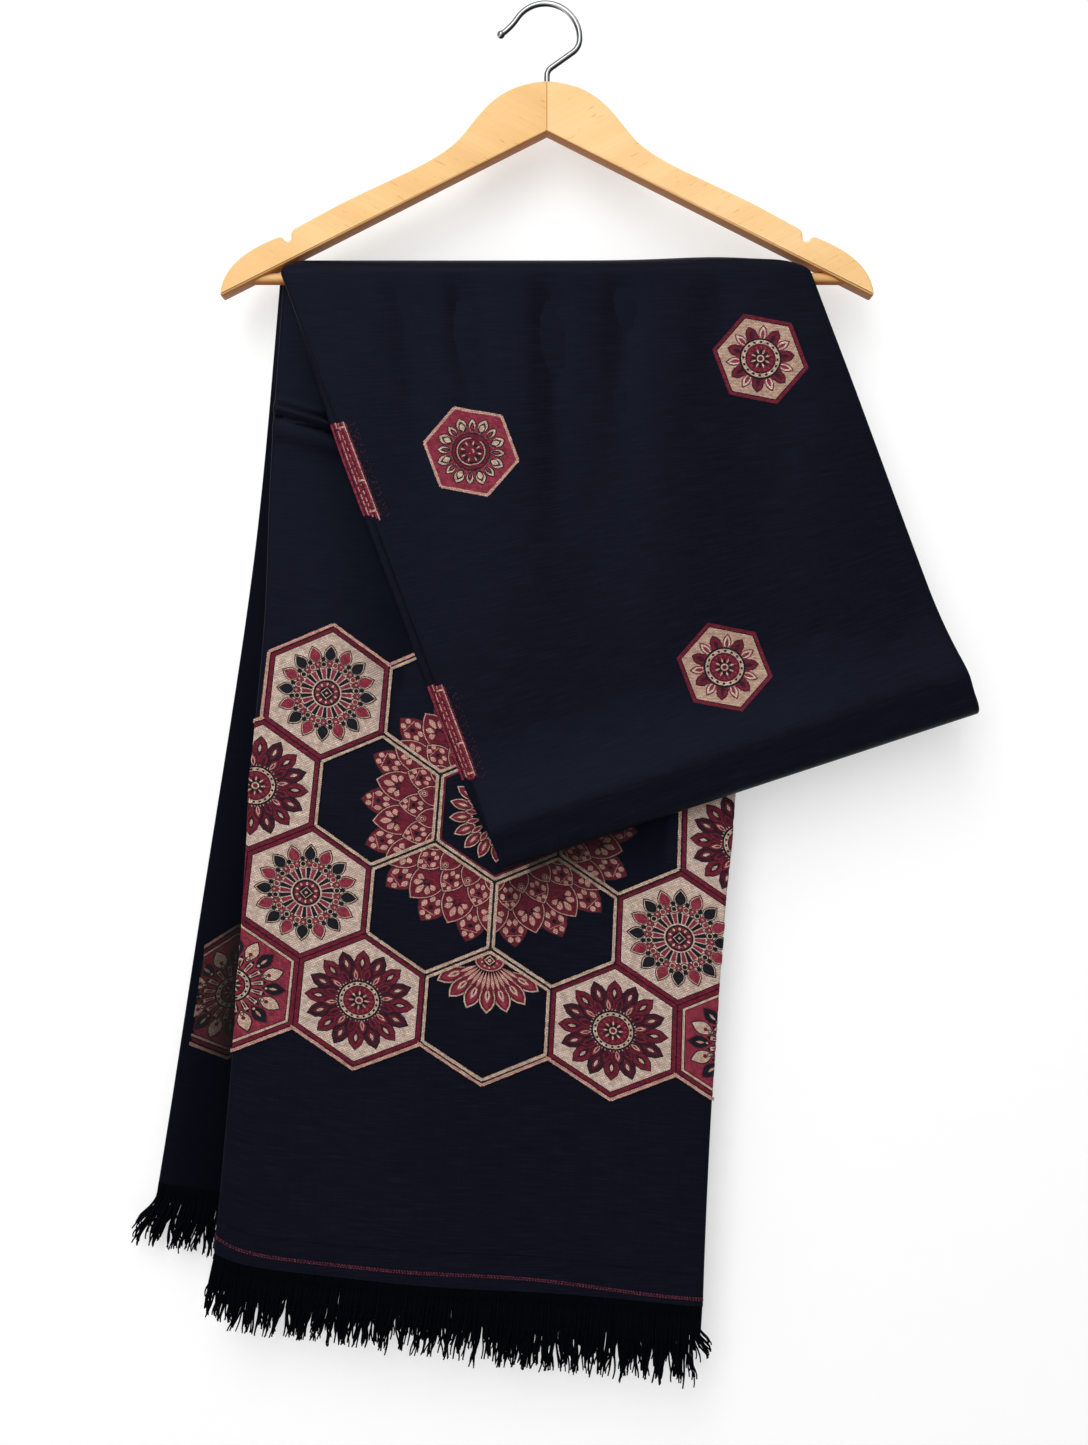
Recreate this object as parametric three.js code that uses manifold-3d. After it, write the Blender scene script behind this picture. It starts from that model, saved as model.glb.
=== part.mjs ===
// An embroidered shawl hung over the bar of a wooden coat hanger.
//
// Millimetres, +Z up, the front towards -Y. The origin is the point inside the top of the
// hook that bears on a rail.
//
// The shawl is one woven sheet. It is folded in three across its width, so that it is a
// stack of three layers, and then in half along its length. The halved stack hangs over
// the bar with its mid-length fold in front and both fringed ends behind.
import * as THREE from "three";
import { mergeVertices } from "three/addons/utils/BufferGeometryUtils.js";
import Module from "manifold-3d";

const wasm = await Module();
wasm.setup();

// ---------- driving dimensions ----------

const GAP = 0.3; // between pieces that meet

const HANGER_THICK = 13;
const HANGER_BEVEL = 1;
const NECK_Z = -53.3; // the top of the neck
const APEX_Z = -87.6; // where the two undersides meet
const UNDERSIDE_SLOPE = 0.507;

const BAR_R = 4;
const BAR_Z = -186.5;
const BAR_HALF = 208;
const BAR_SEAT = 30; // length of the blind hole that holds each end

const WIRE_R = 2;
const HOOK_R = 23.4;
const SHANK_FOOT_Z = -84;
const HOOK_BALL_R = 2.7;

const SHEET = 1; // thickness of the cloth
const PITCH = 1.35; // from one layer of the stack to the next
const STACK = 2 * PITCH + SHEET;
const FOLDED_WIDTH = 337; // of the stack
const INNER_R = BAR_R + GAP + STACK / 2; // of the lower stack's middle, over the bar
const OUTER_R = INNER_R + STACK + 0.5; // and of the upper stack's
const COLUMNS = 9; // facets across each layer
const ARC_STEPS = 8; // facets over the bar

// The front panel is a strip that leans, with its fold at the foot.
const LEAN = THREE.MathUtils.degToRad(20.5); // of its sides, from the vertical
const FOLD_RISE = THREE.MathUtils.degToRad(18.2); // of its foot, from the level
const TIP = { x: -30.2, z: -587.5 }; // the left end of its foot
const LOOP_R = 9; // of the soft turn at its foot, to the middle of the stack
const LOOP_REACH = 120; // how far up the turn opens the two stacks
const STAGGER = 6; // by which the rear stack shows beside the front one
const SQUEEZE = 0.1; // share of its width that the cloth gives up under the arms

const END_DRIFT = 3; // by which the rear end hangs away from the front end
const FRINGE = 53; // length
const FRINGE_BAND = 20; // its dense head
const FRINGE_THICK = 3;
const TOOTH = 12;
const TOOTH_GAP = 5;

const lerp = THREE.MathUtils.lerp;
const smooth = (t) => THREE.MathUtils.smoothstep(t, 0, 1);

// ---------- solids ----------

// A closed mesh as a manifold-3d solid.
function solidOf(geometry) {
  const bare = geometry.index ? geometry.toNonIndexed() : geometry.clone();
  bare.deleteAttribute("normal");
  bare.deleteAttribute("uv");
  const merged = mergeVertices(bare, 1e-3);
  const mesh = new wasm.Mesh({
    numProp: 3,
    vertProperties: merged.getAttribute("position").array,
    triVerts: new Uint32Array(merged.index.array),
  });
  return new wasm.Manifold(mesh);
}

function geometryOf(solid) {
  const mesh = solid.getMesh();
  const geometry = new THREE.BufferGeometry();
  geometry.setAttribute("position", new THREE.BufferAttribute(mesh.vertProperties, 3));
  geometry.setIndex(new THREE.BufferAttribute(mesh.triVerts, 1));
  geometry.computeVertexNormals();
  return geometry;
}

function meshFrom(name, geometry, material) {
  const mesh = new THREE.Mesh(geometry, material);
  mesh.name = name;
  return mesh;
}

function indexed(points, triangles) {
  const geometry = new THREE.BufferGeometry().setFromPoints(points);
  geometry.setIndex(triangles);
  geometry.computeVertexNormals();
  return geometry;
}

// A solid through rings of equal length, closed by a cap at each end.
// The outline gives each ring's flat form, from which the caps are cut.
function skin(rings, outline) {
  const size = outline.length;
  const triangles = [];
  for (let k = 0; k + 1 < rings.length; k++) {
    for (let i = 0; i < size; i++) {
      const j = (i + 1) % size;
      const [a, b, c, d] = [k * size + i, k * size + j, (k + 1) * size + j, (k + 1) * size + i];
      triangles.push(a, c, b, a, d, c);
    }
  }
  const last = (rings.length - 1) * size;
  for (const [a, b, c] of THREE.ShapeUtils.triangulateShape(outline, [])) {
    triangles.push(c, b, a, last + a, last + b, last + c);
  }
  return indexed(rings.flat(), triangles);
}

// A cylinder between two places on one axis.
function rod(axis, from, to, radius, across, sides) {
  const geometry = new THREE.CylinderGeometry(radius, radius, to - from, sides);
  if (axis === "x") geometry.rotateZ(-Math.PI / 2);
  else geometry.rotateX(Math.PI / 2);
  const middle = (from + to) / 2;
  if (axis === "x") geometry.translate(middle, 0, across);
  else geometry.translate(across, 0, middle);
  return geometry;
}

// ---------- the hanger ----------

// One arm seen from the front: domed at the neck, straight to the notch, round at the tip.
function armShape() {
  const shape = new THREE.Shape();
  const seam = GAP / 2;
  shape.moveTo(seam, APEX_Z);
  shape.lineTo(220, APEX_Z - 220 * UNDERSIDE_SLOPE);
  shape.quadraticCurveTo(222.6, -200.2, 222.5, -197.5);
  shape.bezierCurveTo(220.6, -181, 207.5, -169.5, 184.5, -160.2);
  shape.quadraticCurveTo(179.8, -158.6, 179.2, -161.4);
  shape.quadraticCurveTo(175.2, -164.6, 174, -160.2);
  shape.quadraticCurveTo(174.8, -155.6, 171, -153.4);
  shape.lineTo(148, -140.9);
  shape.bezierCurveTo(115, -123, 78, -110.5, 61.6, -94.6);
  shape.bezierCurveTo(46, -79, 39, -56, seam, NECK_Z);
  shape.closePath();
  return shape;
}

function arm(side) {
  const geometry = new THREE.ExtrudeGeometry(armShape(), {
    depth: HANGER_THICK - 2 * HANGER_BEVEL,
    bevelThickness: HANGER_BEVEL,
    bevelSize: HANGER_BEVEL,
    bevelOffset: -HANGER_BEVEL,
    bevelSegments: 2,
    curveSegments: 10,
  });
  geometry.translate(0, 0, HANGER_BEVEL - HANGER_THICK / 2);
  geometry.rotateX(Math.PI / 2);
  let solid = solidOf(geometry);
  const barSeat = rod("x", BAR_HALF - BAR_SEAT, BAR_HALF + GAP, BAR_R + GAP, BAR_Z, 24);
  const shankHole = rod("z", SHANK_FOOT_Z - GAP, NECK_Z + 10, WIRE_R + GAP, 0, 16);
  solid = solid.subtract(solidOf(barSeat)).subtract(solidOf(shankHole));
  if (side < 0) solid = solid.mirror([1, 0, 0]);
  return geometryOf(solid);
}

// A level curve through arcs and lines, each turning by an angle over a length.
class WirePath extends THREE.Curve {
  constructor(start, heading, legs) {
    super();
    this.legs = [];
    this.total = 0;
    let [x, z, angle] = [start.x, start.z, heading];
    for (const { length, turn } of legs) {
      this.legs.push({ x, z, angle, length, turn, from: this.total });
      [x, z, angle] = WirePath.along({ x, z, angle, length, turn }, length);
      this.total += length;
    }
  }

  static along({ x, z, angle, length, turn }, reach) {
    const bend = (turn * reach) / length;
    if (Math.abs(turn) < 1e-9) {
      return [x + reach * Math.cos(angle), z + reach * Math.sin(angle), angle];
    }
    const radius = length / turn;
    return [
      x + radius * (Math.sin(angle + bend) - Math.sin(angle)),
      z - radius * (Math.cos(angle + bend) - Math.cos(angle)),
      angle + bend,
    ];
  }

  getPoint(t, target = new THREE.Vector3()) {
    const reach = t * this.total;
    const leg = this.legs.findLast(({ from }) => from <= reach);
    const [x, z] = WirePath.along(leg, reach - leg.from);
    return target.set(x, 0, z);
  }
}

// The hook: a shank, a bend out to the right, the round, and a tip that flares to a ball.
function hook() {
  const deg = THREE.MathUtils.degToRad;
  const arc = (radius, turn) => ({ length: radius * Math.abs(deg(turn)), turn: deg(turn) });
  const path = new WirePath({ x: 0, z: SHANK_FOOT_Z }, deg(90), [
    { length: 36.4, turn: 0 },
    arc(7, -54.5),
    { length: 18.1, turn: 0 },
    arc(11, 49.5),
    arc(HOOK_R, 151),
    arc(40, -20),
  ]);
  const wire = new THREE.Shape().absarc(0, 0, WIRE_R, 0, 2 * Math.PI);
  const geometry = new THREE.ExtrudeGeometry(wire, {
    extrudePath: path,
    steps: 56,
    curveSegments: 6,
  });
  const ball = new THREE.SphereGeometry(HOOK_BALL_R, 16, 10);
  ball.translate(...path.getPoint(1).toArray());
  return geometryOf(solidOf(geometry).add(solidOf(ball)));
}

// ---------- the cloth ----------

// The section of the folded stack: u across it from its left side, n through it.
// The good side of the middle third lies at the lowest n. The right third is turned in
// first and the left third closes over it.
function stackOutline() {
  const left = PITCH + SHEET / 2;
  const right = FOLDED_WIDTH - PITCH / 2 - SHEET / 2;
  const across = (j) => lerp(left, right, j / COLUMNS);
  const middle = [];
  const put = (u, n, nu, nn) => middle.push({ u, n, nu, nn });
  const turn = (u, n, radius, from) => {
    for (const share of [1 / 4, 1 / 2, 3 / 4]) {
      const angle = from - Math.PI * share;
      const [c, s] = [Math.cos(angle), Math.sin(angle)];
      put(u + radius * c, n + radius * s, c, s);
    }
  };
  const TUCK = 4; // by which the two free edges stop short of the folds
  for (let j = 0; j <= COLUMNS; j++) put(across(j) + (j === 0 ? TUCK : 0), 0, 0, 1);
  turn(right, -PITCH / 2, PITCH / 2, Math.PI / 2);
  for (let j = COLUMNS; j >= 0; j--) put(across(j), -PITCH, 0, -1);
  turn(left, 0, PITCH, -Math.PI / 2);
  for (let j = 0; j <= COLUMNS; j++) put(across(j) - (j === COLUMNS ? TUCK : 0), PITCH, 0, 1);
  const side = (sign) =>
    middle.map(
      ({ u, n, nu, nn }) =>
        new THREE.Vector2(u + (sign * nu * SHEET) / 2, n + (sign * nn * SHEET) / 2),
    );
  return [...side(1), ...side(-1).reverse()];
}

// How far the panels stand off their flat planes: shallow ripples under the bar in front,
// and a slow wave that grows down the ends behind.
const ripple = (x, drop) => 1.2 * Math.sin(x / 18) * smooth(drop / 90) * smooth((420 - drop) / 300);
const sway = (x, drop) => 2.4 * smooth(drop / 650) * Math.sin(x / 31 + 1);

// The two ends behind the bar. Each side is a curve of the drop below the bar, and each
// foot a curve of the share across.
const FRONT_END = {
  left: (d) => -181.5 - 0.071 * d + 4 * Math.exp(-(((d - 230) / 80) ** 2)),
  right: (d) => 175 - 0.165 * d + 9.6e-5 * d * d,
  foot: (share) => -858 - 30.4 * share - 6 * Math.sin(Math.PI * share),
  depth: () => INNER_R,
  facing: 1,
};
const REAR_END = {
  left: (d) => -184.5 - 0.085 * d - 8e-5 * d * d,
  right: (d) => 175 - 0.165 * d,
  foot: (share) => -798 - 58 * share,
  depth: (d) => OUTER_R + END_DRIFT * smooth(d / 200),
  facing: -1,
};

function onEnd(end, share, u, n, past = 0, lean = 0) {
  const across = u / FOLDED_WIDTH;
  const drop = share * (BAR_Z - end.foot(across));
  const x = lerp(end.left(drop), end.right(drop), across) - past * Math.sin(lean);
  const y = end.depth(drop) + end.facing * n + sway(x, drop);
  return new THREE.Vector3(x, y, BAR_Z - drop - past * Math.cos(lean));
}

// A place on the front panel: u across it, h up from its foot along its lean.
function frontPlane(u, h) {
  const x = TIP.x + u * Math.cos(FOLD_RISE) - h * Math.sin(LEAN);
  const z = TIP.z + u * Math.sin(FOLD_RISE) + h * Math.cos(LEAN);
  return { x, z };
}

const frontReach = (u) => (BAR_Z - TIP.z - u * Math.sin(FOLD_RISE)) / Math.cos(LEAN);

// The rear stack of the front panel stands STAGGER to the left between its foot and the bar.
function stagger(u, h) {
  return -STAGGER * smooth(h / 60) * smooth((frontReach(u) - h) / 140);
}

function onFrontRear(u, h, n) {
  const { x, z } = frontPlane(u, h);
  const shifted = x + stagger(u, h);
  return new THREE.Vector3(shifted, -INNER_R - n + ripple(shifted, BAR_Z - z), z);
}

// Above the loop the front stack lies on the rear one; towards the foot it swells away.
function onFrontFace(u, h, n) {
  const swell = INNER_R + 2 * LOOP_R - OUTER_R;
  const t = (h - LOOP_R) / (LOOP_REACH - LOOP_R);
  const y = -OUTER_R - swell * (1 - smooth(t));
  const within = t > 0 && t < 1;
  const slope = within ? (swell * 6 * t * (1 - t)) / (LOOP_REACH - LOOP_R) : 0;
  const size = Math.hypot(1, slope);
  const { x, z } = frontPlane(u, h - (n * slope) / size);
  return new THREE.Vector3(x, y + n / size + ripple(x, BAR_Z - z), z);
}

function onLoop(u, angle, n) {
  const radius = LOOP_R - n;
  const { x, z } = frontPlane(u, LOOP_R - radius * Math.sin(angle));
  const y = -INNER_R - LOOP_R + radius * Math.cos(angle);
  return new THREE.Vector3(x, y + ripple(x, BAR_Z - z), z);
}

// Over the bar: the angle is 0 behind it and a half turn in front.
function onBar(end, radius, u, angle) {
  const across = u / FOLDED_WIDTH;
  const behind = lerp(end.left(0), end.right(0), across);
  const before = frontPlane(u, frontReach(u)).x;
  const pinch = 1 - SQUEEZE * Math.sin(angle) ** 3;
  const x = lerp(behind, before, angle / Math.PI) * pinch;
  return new THREE.Vector3(x, radius * Math.cos(angle), BAR_Z + radius * Math.sin(angle));
}

// Stations along the shawl, from the front end's foot to the rear end's. Each places (u, n).
function stations() {
  const steps = (count, from = 0) =>
    Array.from({ length: count - from }, (_, i) => (i + from) / count);
  const list = [];
  for (const t of steps(12)) list.push((u, n) => onEnd(FRONT_END, 1 - t, u, n));
  for (const t of steps(ARC_STEPS)) {
    list.push((u, n) => onBar(FRONT_END, INNER_R + n, u, Math.PI * t));
  }
  const hang = (u, t) => lerp(LOOP_REACH, frontReach(u), t);
  for (const t of steps(3)) list.push((u, n) => onFrontRear(u, hang(u, 1 - t), n));
  for (const t of steps(3)) list.push((u, n) => onFrontRear(u, lerp(LOOP_REACH, LOOP_R, t), n));
  for (const t of steps(6)) list.push((u, n) => onLoop(u, Math.PI * t, n));
  for (const t of steps(6)) list.push((u, n) => onFrontFace(u, lerp(LOOP_R, LOOP_REACH, t), n));
  for (const t of steps(3)) list.push((u, n) => onFrontFace(u, hang(u, t), n));
  for (const t of steps(ARC_STEPS)) {
    list.push((u, n) => onBar(REAR_END, OUTER_R - n, u, Math.PI * (1 - t)));
  }
  for (const t of [...steps(10), 1]) list.push((u, n) => onEnd(REAR_END, t, u, n));
  return list;
}

function shawl() {
  const outline = stackOutline();
  const rings = stations().map((place) => outline.map(({ x: u, y: n }) => place(u, n)));
  return skin(rings, outline);
}

// A comb along the foot of one end: a dense head, and teeth below it that lean and vary.
function fringe(end, lean) {
  const count = Math.round((FOLDED_WIDTH + TOOTH_GAP) / (TOOTH + TOOTH_GAP));
  const cell = (FOLDED_WIDTH - 4 - TOOTH) / (count - 1);
  const levels = (k, i) => [GAP, FRINGE_BAND, FRINGE - 3 * (1 + Math.sin(2.4 * k + i))];
  const leans = [0, lean / 3, lean];
  const points = [];
  const triangles = [];
  const columns = [];
  for (let k = 0; k < count; k++) {
    for (const i of [0, 1]) {
      const u = 2 + k * cell + i * TOOTH;
      const column = [-1, 1].map((face) =>
        levels(k, i).map((level, row) => {
          points.push(onEnd(end, 1, u, (face * FRINGE_THICK) / 2, level, leans[row]));
          return points.length - 1;
        }),
      );
      columns.push(column);
    }
  }
  const quad = (a, b, c, d) => triangles.push(a, b, c, a, c, d);
  for (let c = 0; c + 1 < columns.length; c++) {
    const [[a0, a1, a2], [b0, b1, b2]] = columns[c];
    const [[c0, c1, c2], [d0, d1, d2]] = columns[c + 1];
    quad(a0, a1, c1, c0);
    quad(b0, d0, d1, b1);
    quad(a0, c0, d0, b0);
    if (c % 2) {
      quad(a1, b1, d1, c1);
    } else {
      quad(a1, a2, c2, c1);
      quad(b1, d1, d2, b2);
      quad(a2, b2, d2, c2);
      quad(a1, b1, b2, a2);
      quad(c1, c2, d2, d1);
    }
  }
  const [[a0, a1], [b0, b1]] = columns[0];
  quad(a0, b0, b1, a1);
  const [[c0, c1], [d0, d1]] = columns.at(-1);
  quad(c0, c1, d1, d0);
  if (end.facing < 0) triangles.reverse(); // the rear end is mirrored, so its faces turn over
  return indexed(points, triangles);
}

// ---------- the group ----------

const paint = (color, roughness, metalness = 0) =>
  new THREE.MeshStandardMaterial({ color, roughness, metalness });
const WOOD = paint("#f0c48a", 0.45);
const STEEL = paint("#c9ccd1", 0.2, 1);
const CLOTH = paint("#171c2b", 0.85);
const FRINGE_YARN = paint("#0d1019", 0.9);

const bar = rod("x", -BAR_HALF, BAR_HALF, BAR_R, BAR_Z, 32);

const group = new THREE.Group();
group.add(
  meshFrom("hanger_arm_left", arm(-1), WOOD),
  meshFrom("hanger_arm_right", arm(1), WOOD),
  meshFrom("hanger_bar", bar, WOOD),
  meshFrom("hanger_hook", hook(), STEEL),
  meshFrom("shawl", shawl(), CLOTH),
  meshFrom("fringe_front", fringe(FRONT_END, 0.2), FRINGE_YARN),
  meshFrom("fringe_rear", fringe(REAR_END, 0.42), FRINGE_YARN),
);

export default group;
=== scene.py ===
import functools
import itertools
import math

import bmesh
import bpy
import numpy as np
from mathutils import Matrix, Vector


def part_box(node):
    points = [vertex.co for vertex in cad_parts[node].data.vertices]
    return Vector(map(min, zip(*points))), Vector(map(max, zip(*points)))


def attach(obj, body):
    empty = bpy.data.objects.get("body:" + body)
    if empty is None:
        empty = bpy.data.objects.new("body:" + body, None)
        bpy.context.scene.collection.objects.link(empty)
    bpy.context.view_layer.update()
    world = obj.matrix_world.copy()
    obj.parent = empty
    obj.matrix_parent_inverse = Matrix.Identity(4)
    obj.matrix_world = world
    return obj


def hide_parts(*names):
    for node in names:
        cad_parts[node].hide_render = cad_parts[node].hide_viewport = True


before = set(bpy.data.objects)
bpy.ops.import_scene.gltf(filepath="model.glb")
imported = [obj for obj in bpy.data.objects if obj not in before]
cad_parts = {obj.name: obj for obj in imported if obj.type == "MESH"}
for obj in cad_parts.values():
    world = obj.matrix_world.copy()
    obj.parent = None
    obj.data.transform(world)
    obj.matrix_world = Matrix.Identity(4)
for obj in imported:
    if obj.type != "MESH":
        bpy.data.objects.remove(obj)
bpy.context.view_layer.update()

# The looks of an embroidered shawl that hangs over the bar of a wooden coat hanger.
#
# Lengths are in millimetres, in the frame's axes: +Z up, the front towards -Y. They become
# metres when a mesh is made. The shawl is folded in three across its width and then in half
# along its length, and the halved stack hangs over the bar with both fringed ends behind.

MM = 0.001
rng = np.random.default_rng(11)


def box_mm(node):
    low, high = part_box(node)
    return np.array(low) / MM, np.array(high) / MM


# ---------- driving dimensions ----------

(_, _, bar_bottom), (BAR_HALF, _, bar_top) = box_mm("hanger_bar")
BAR_Z = (bar_bottom + bar_top) / 2
BAR_R = (bar_top - bar_bottom) / 2

arm_low, arm_high = box_mm("hanger_arm_right")
SEAM = arm_low[0]  # half the joint between the arms
HANGER_THICK = arm_high[1] - arm_low[1]
NECK_Z = arm_high[2]
APEX_Z = -87.6  # where the two undersides meet
UNDERSIDE_SLOPE = 0.507
EDGE_ROUND = 1.8

SHANK_FOOT_Z = box_mm("hanger_hook")[0][2]
WIRE_R = 2
HOOK_R = 23.4
HOOK_BALL_R = 2.7

GAP = 0.3  # between pieces that touch
SHEET = 1  # thickness of the cloth
PITCH = 1.35  # from one layer of the stack to the next
STACK = 2 * PITCH + SHEET
FOLDED_WIDTH = 337
LEFT_FOLD_R = PITCH + SHEET / 2  # to the outside of the fold
RIGHT_FOLD_R = (PITCH + SHEET) / 2
LEFT_FOLD = LEFT_FOLD_R  # the folds' axes, across the stack
RIGHT_FOLD = FOLDED_WIDTH - RIGHT_FOLD_R
TUCK = 4  # by which the two free edges stop short of the folds
INNER_R = BAR_R + GAP + STACK / 2  # of the lower stack's middle, over the bar
OUTER_R = INNER_R + STACK + 0.5

LEAN = math.radians(20.5)  # of the front panel's sides
FOLD_RISE = math.radians(18.2)  # of its foot
TIP_X, TIP_Z = -30.2, -587.5  # the left end of its foot
LOOP_R = 9  # of the soft turn at its foot
LOOP_REACH = 88  # how far up the turn opens the two stacks
BORDER = 5  # the plain strip along the rear end's left fold
STAGGER = 6  # by which the panel's rear stack shows beside the front one
SQUEEZE = 0.1  # share of its width that the cloth gives up under the arms
END_DRIFT = 9  # by which the rear end hangs away from the front end

FRINGE = (47, 61)  # its length at the left and the right of an end

HEX_PITCH = 85.2  # of the embroidered band
ROW_PITCH = HEX_PITCH * math.sqrt(3) / 2
CELL_SIDE = HEX_PITCH / math.sqrt(3)


def lerp(a, b, t):
    return a + (b - a) * t


def smooth(t):
    t = np.clip(t, 0, 1)
    return t * t * (3 - 2 * t)


def bump(t):
    return np.exp(-t * t)


# ---------- meshes and materials ----------


def mesh_object(name, points, faces, material, uv=None, sharp=40, shade=None):
    """A mesh from points in millimetres, with a place in the texture's plane and a painted shade for each.
    """
    mesh = bpy.data.meshes.new(name)
    mesh.from_pydata((np.asarray(points) * MM).tolist(), [], faces)
    mesh.materials.append(material)
    if uv is not None:
        corners = np.empty(len(mesh.loops), np.int32)
        mesh.loops.foreach_get("vertex_index", corners)
        layer = mesh.uv_layers.new(name="UVMap")
        layer.data.foreach_set("uv", (np.asarray(uv)[corners] * MM).astype(np.float32).ravel())
    if shade is not None:
        mesh.attributes.new("shade", "FLOAT", "POINT").data.foreach_set("value", shade.astype(np.float32))
    if sharp:
        mesh.shade_smooth()
        mesh.set_sharp_from_angle(angle=math.radians(sharp))
    made = bpy.data.objects.new(name, mesh)
    bpy.context.scene.collection.objects.link(made)
    return made


def turn_faces_out(piece):
    work = bmesh.new()
    work.from_mesh(piece.data)
    bmesh.ops.recalc_face_normals(work, faces=work.faces)
    work.to_mesh(piece.data)
    work.free()


def ring_faces(count, size, first=0):
    """Quads between one ring of points and the next."""
    steps = [(i, (i + 1) % size) for i in range(size)]
    lows = range(first, first + (count - 1) * size, size)
    return [(low + i, low + j, low + size + j, low + size + i) for low in lows for i, j in steps]


def tube_faces(count, size, first=0):
    """The faces of a closed tube through rings, with a cap at each end."""
    last = first + (count - 1) * size
    caps = [tuple(range(first, first + size))[::-1], tuple(range(last, last + size))]
    return ring_faces(count, size, first) + caps


def ring_piece(name, rings, material):
    """A closed piece through rings of equal length."""
    piece = mesh_object(name, np.concatenate(rings), tube_faces(len(rings), len(rings[0])), material)
    turn_faces_out(piece)
    return piece


def linear(code):
    """A colour written as six hexadecimal digits, as the shader takes it."""
    parts = [int(code[i : i + 2], 16) / 255 for i in (0, 2, 4)]
    return [c / 12.92 if c <= 0.04045 else ((c + 0.055) / 1.055) ** 2.4 for c in parts] + [1]


class Shader:
    """A material whose nodes are added by short calls."""

    def __init__(self, name, **sockets):
        self.material = bpy.data.materials.new(name)
        self.material.use_nodes = True
        self.tree = self.material.node_tree
        self.surface = self.tree.nodes["Principled BSDF"]
        for socket, value in sockets.items():
            self.surface.inputs[socket.replace("_", " ")].default_value = value

    def node(self, kind, inputs=(), **settings):
        made = self.tree.nodes.new("ShaderNode" + kind)
        for key, value in settings.items():
            setattr(made, key, value)
        for socket, value in dict(inputs).items():
            if isinstance(value, bpy.types.NodeSocket):
                self.tree.links.new(value, made.inputs[socket])
            else:
                made.inputs[socket].default_value = value
        return made

    def link(self, value, socket):
        self.tree.links.new(value, self.surface.inputs[socket])

    def coordinates(self, source):
        return self.node("TexCoord").outputs[source]

    def mapped(self, vector, scale=(1, 1, 1), turn=(0, 0, 0)):
        """A place scaled along each axis, then turned about them."""
        inputs = {"Vector": vector, "Scale": scale, "Rotation": turn}
        return self.node("Mapping", inputs).outputs["Vector"]

    def noise(self, vector, stretch, detail=2, roughness=0.5):
        inputs = {"Vector": self.mapped(vector, stretch), "Scale": 1, "Detail": detail}
        inputs["Roughness"] = roughness
        return self.node("TexNoise", inputs).outputs["Fac"]

    def ramp(self, value, *stops):
        """A colour for each place on the ramp, given as (place, colour)."""
        made = self.node("ValToRGB", {"Fac": value})
        elements = made.color_ramp.elements
        while len(elements) < len(stops):
            elements.new(0.5)
        for element, (place, colour) in zip(elements, stops):
            element.position = place
            element.color = linear(colour)
        return made.outputs["Color"]

    def math(self, operation, first, second):
        return self.node("Math", {0: first, 1: second}, operation=operation).outputs[0]

    def total(self, *terms):
        """The sum of values, each times its weight."""
        parts = [self.math("MULTIPLY", value, weight) for value, weight in terms]
        return functools.reduce(lambda first, second: self.math("ADD", first, second), parts)

    def times(self, first, second, share=1.0):
        """One colour multiplied by another, as far as the share says."""
        inputs = {"Factor": share, 6: first, 7: second}
        return self.node("Mix", inputs, data_type="RGBA", blend_type="MULTIPLY").outputs[2]

    def with_painted_shade(self, colour):
        """The colour with painted shade: darker where the mesh's shade is less than 1."""
        return self.times(colour, self.node("Attribute", attribute_name="shade").outputs["Fac"])

    def raise_by(self, height, distance, strength=1.0):
        inputs = {"Height": height, "Distance": distance * MM, "Strength": strength}
        self.link(self.node("Bump", inputs).outputs["Normal"], "Normal")


def cloth_material():
    """Navy cloth with uneven weft threads."""
    shader = Shader("navy_cloth", Roughness=0.42, Specular_IOR_Level=0.05, Specular_Tint=linear("a6b4ea"))
    uv = shader.coordinates("UV")
    slubs = shader.noise(uv, (45, 1000, 1), 3)
    warps = shader.noise(uv, (900, 30, 1))
    clouds = shader.noise(uv, (9, 14, 1), 3)
    grain = shader.noise(uv, (1400, 1400, 1), 1)
    threads = shader.total((slubs, 1.0), (warps, 0.25))
    tone = shader.total((threads, 0.7), (clouds, 0.1))
    colour = shader.ramp(tone, (0.36, "090a11"), (0.49, "0c0d15"), (0.62, "10121c"))
    # painted shade: the colour is darkened by the mesh's shade
    shader.link(shader.with_painted_shade(colour), "Base Color")
    shader.raise_by(shader.total((threads, 1.0), (grain, 0.6)), 0.14, 0.3)
    return shader.material


def thread_material(name, shadow, light, gap, turn=0.25, stitch=(2.6, 1.2)):
    """Close rows of stitches, laid like bricks, with a little of the ground between them."""
    shader = Shader("thread_" + name, Roughness=0.62, Specular_IOR_Level=0.1)
    place = shader.mapped(shader.coordinates("UV"), (1 / MM, 1 / MM, 1), (0, 0, turn))
    wander = shader.node("TexNoise", {"Vector": place, "Scale": 0.35, "Detail": 1}).outputs["Color"]
    vector = shader.node("VectorMath", {0: place, 1: wander}, operation="ADD").outputs[0]
    inputs = {"Vector": vector, "Scale": 1.0, "Mortar Size": 0.16, "Mortar Smooth": 0.6, "Bias": 0.1}
    inputs |= {"Brick Width": stitch[0], "Row Height": stitch[1], "Mortar": linear(gap)}
    bricks = shader.node("TexBrick", inputs | {"Color1": linear(shadow), "Color2": linear(light)}).outputs
    blotches = shader.ramp(shader.noise(place, (0.22, 0.22, 0.22)), (0.35, "dedede"), (0.65, "ffffff"))
    # painted shade: the colour is darkened by the mesh's shade
    shader.link(shader.with_painted_shade(shader.times(bricks["Color"], blotches)), "Base Color")
    shader.raise_by(shader.math("SUBTRACT", 1.0, bricks["Fac"]), 0.25, 0.7)
    return shader.material


def yarn_material():
    shader = Shader("fringe_yarn", Roughness=0.75, Specular_IOR_Level=0.02)
    plies = shader.noise(shader.coordinates("UV"), (2000, 220, 1))
    shader.link(shader.ramp(plies, (0.35, "020305"), (0.7, "090a10")), "Base Color")
    shader.raise_by(plies, 0.1, 0.5)
    return shader.material


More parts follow.
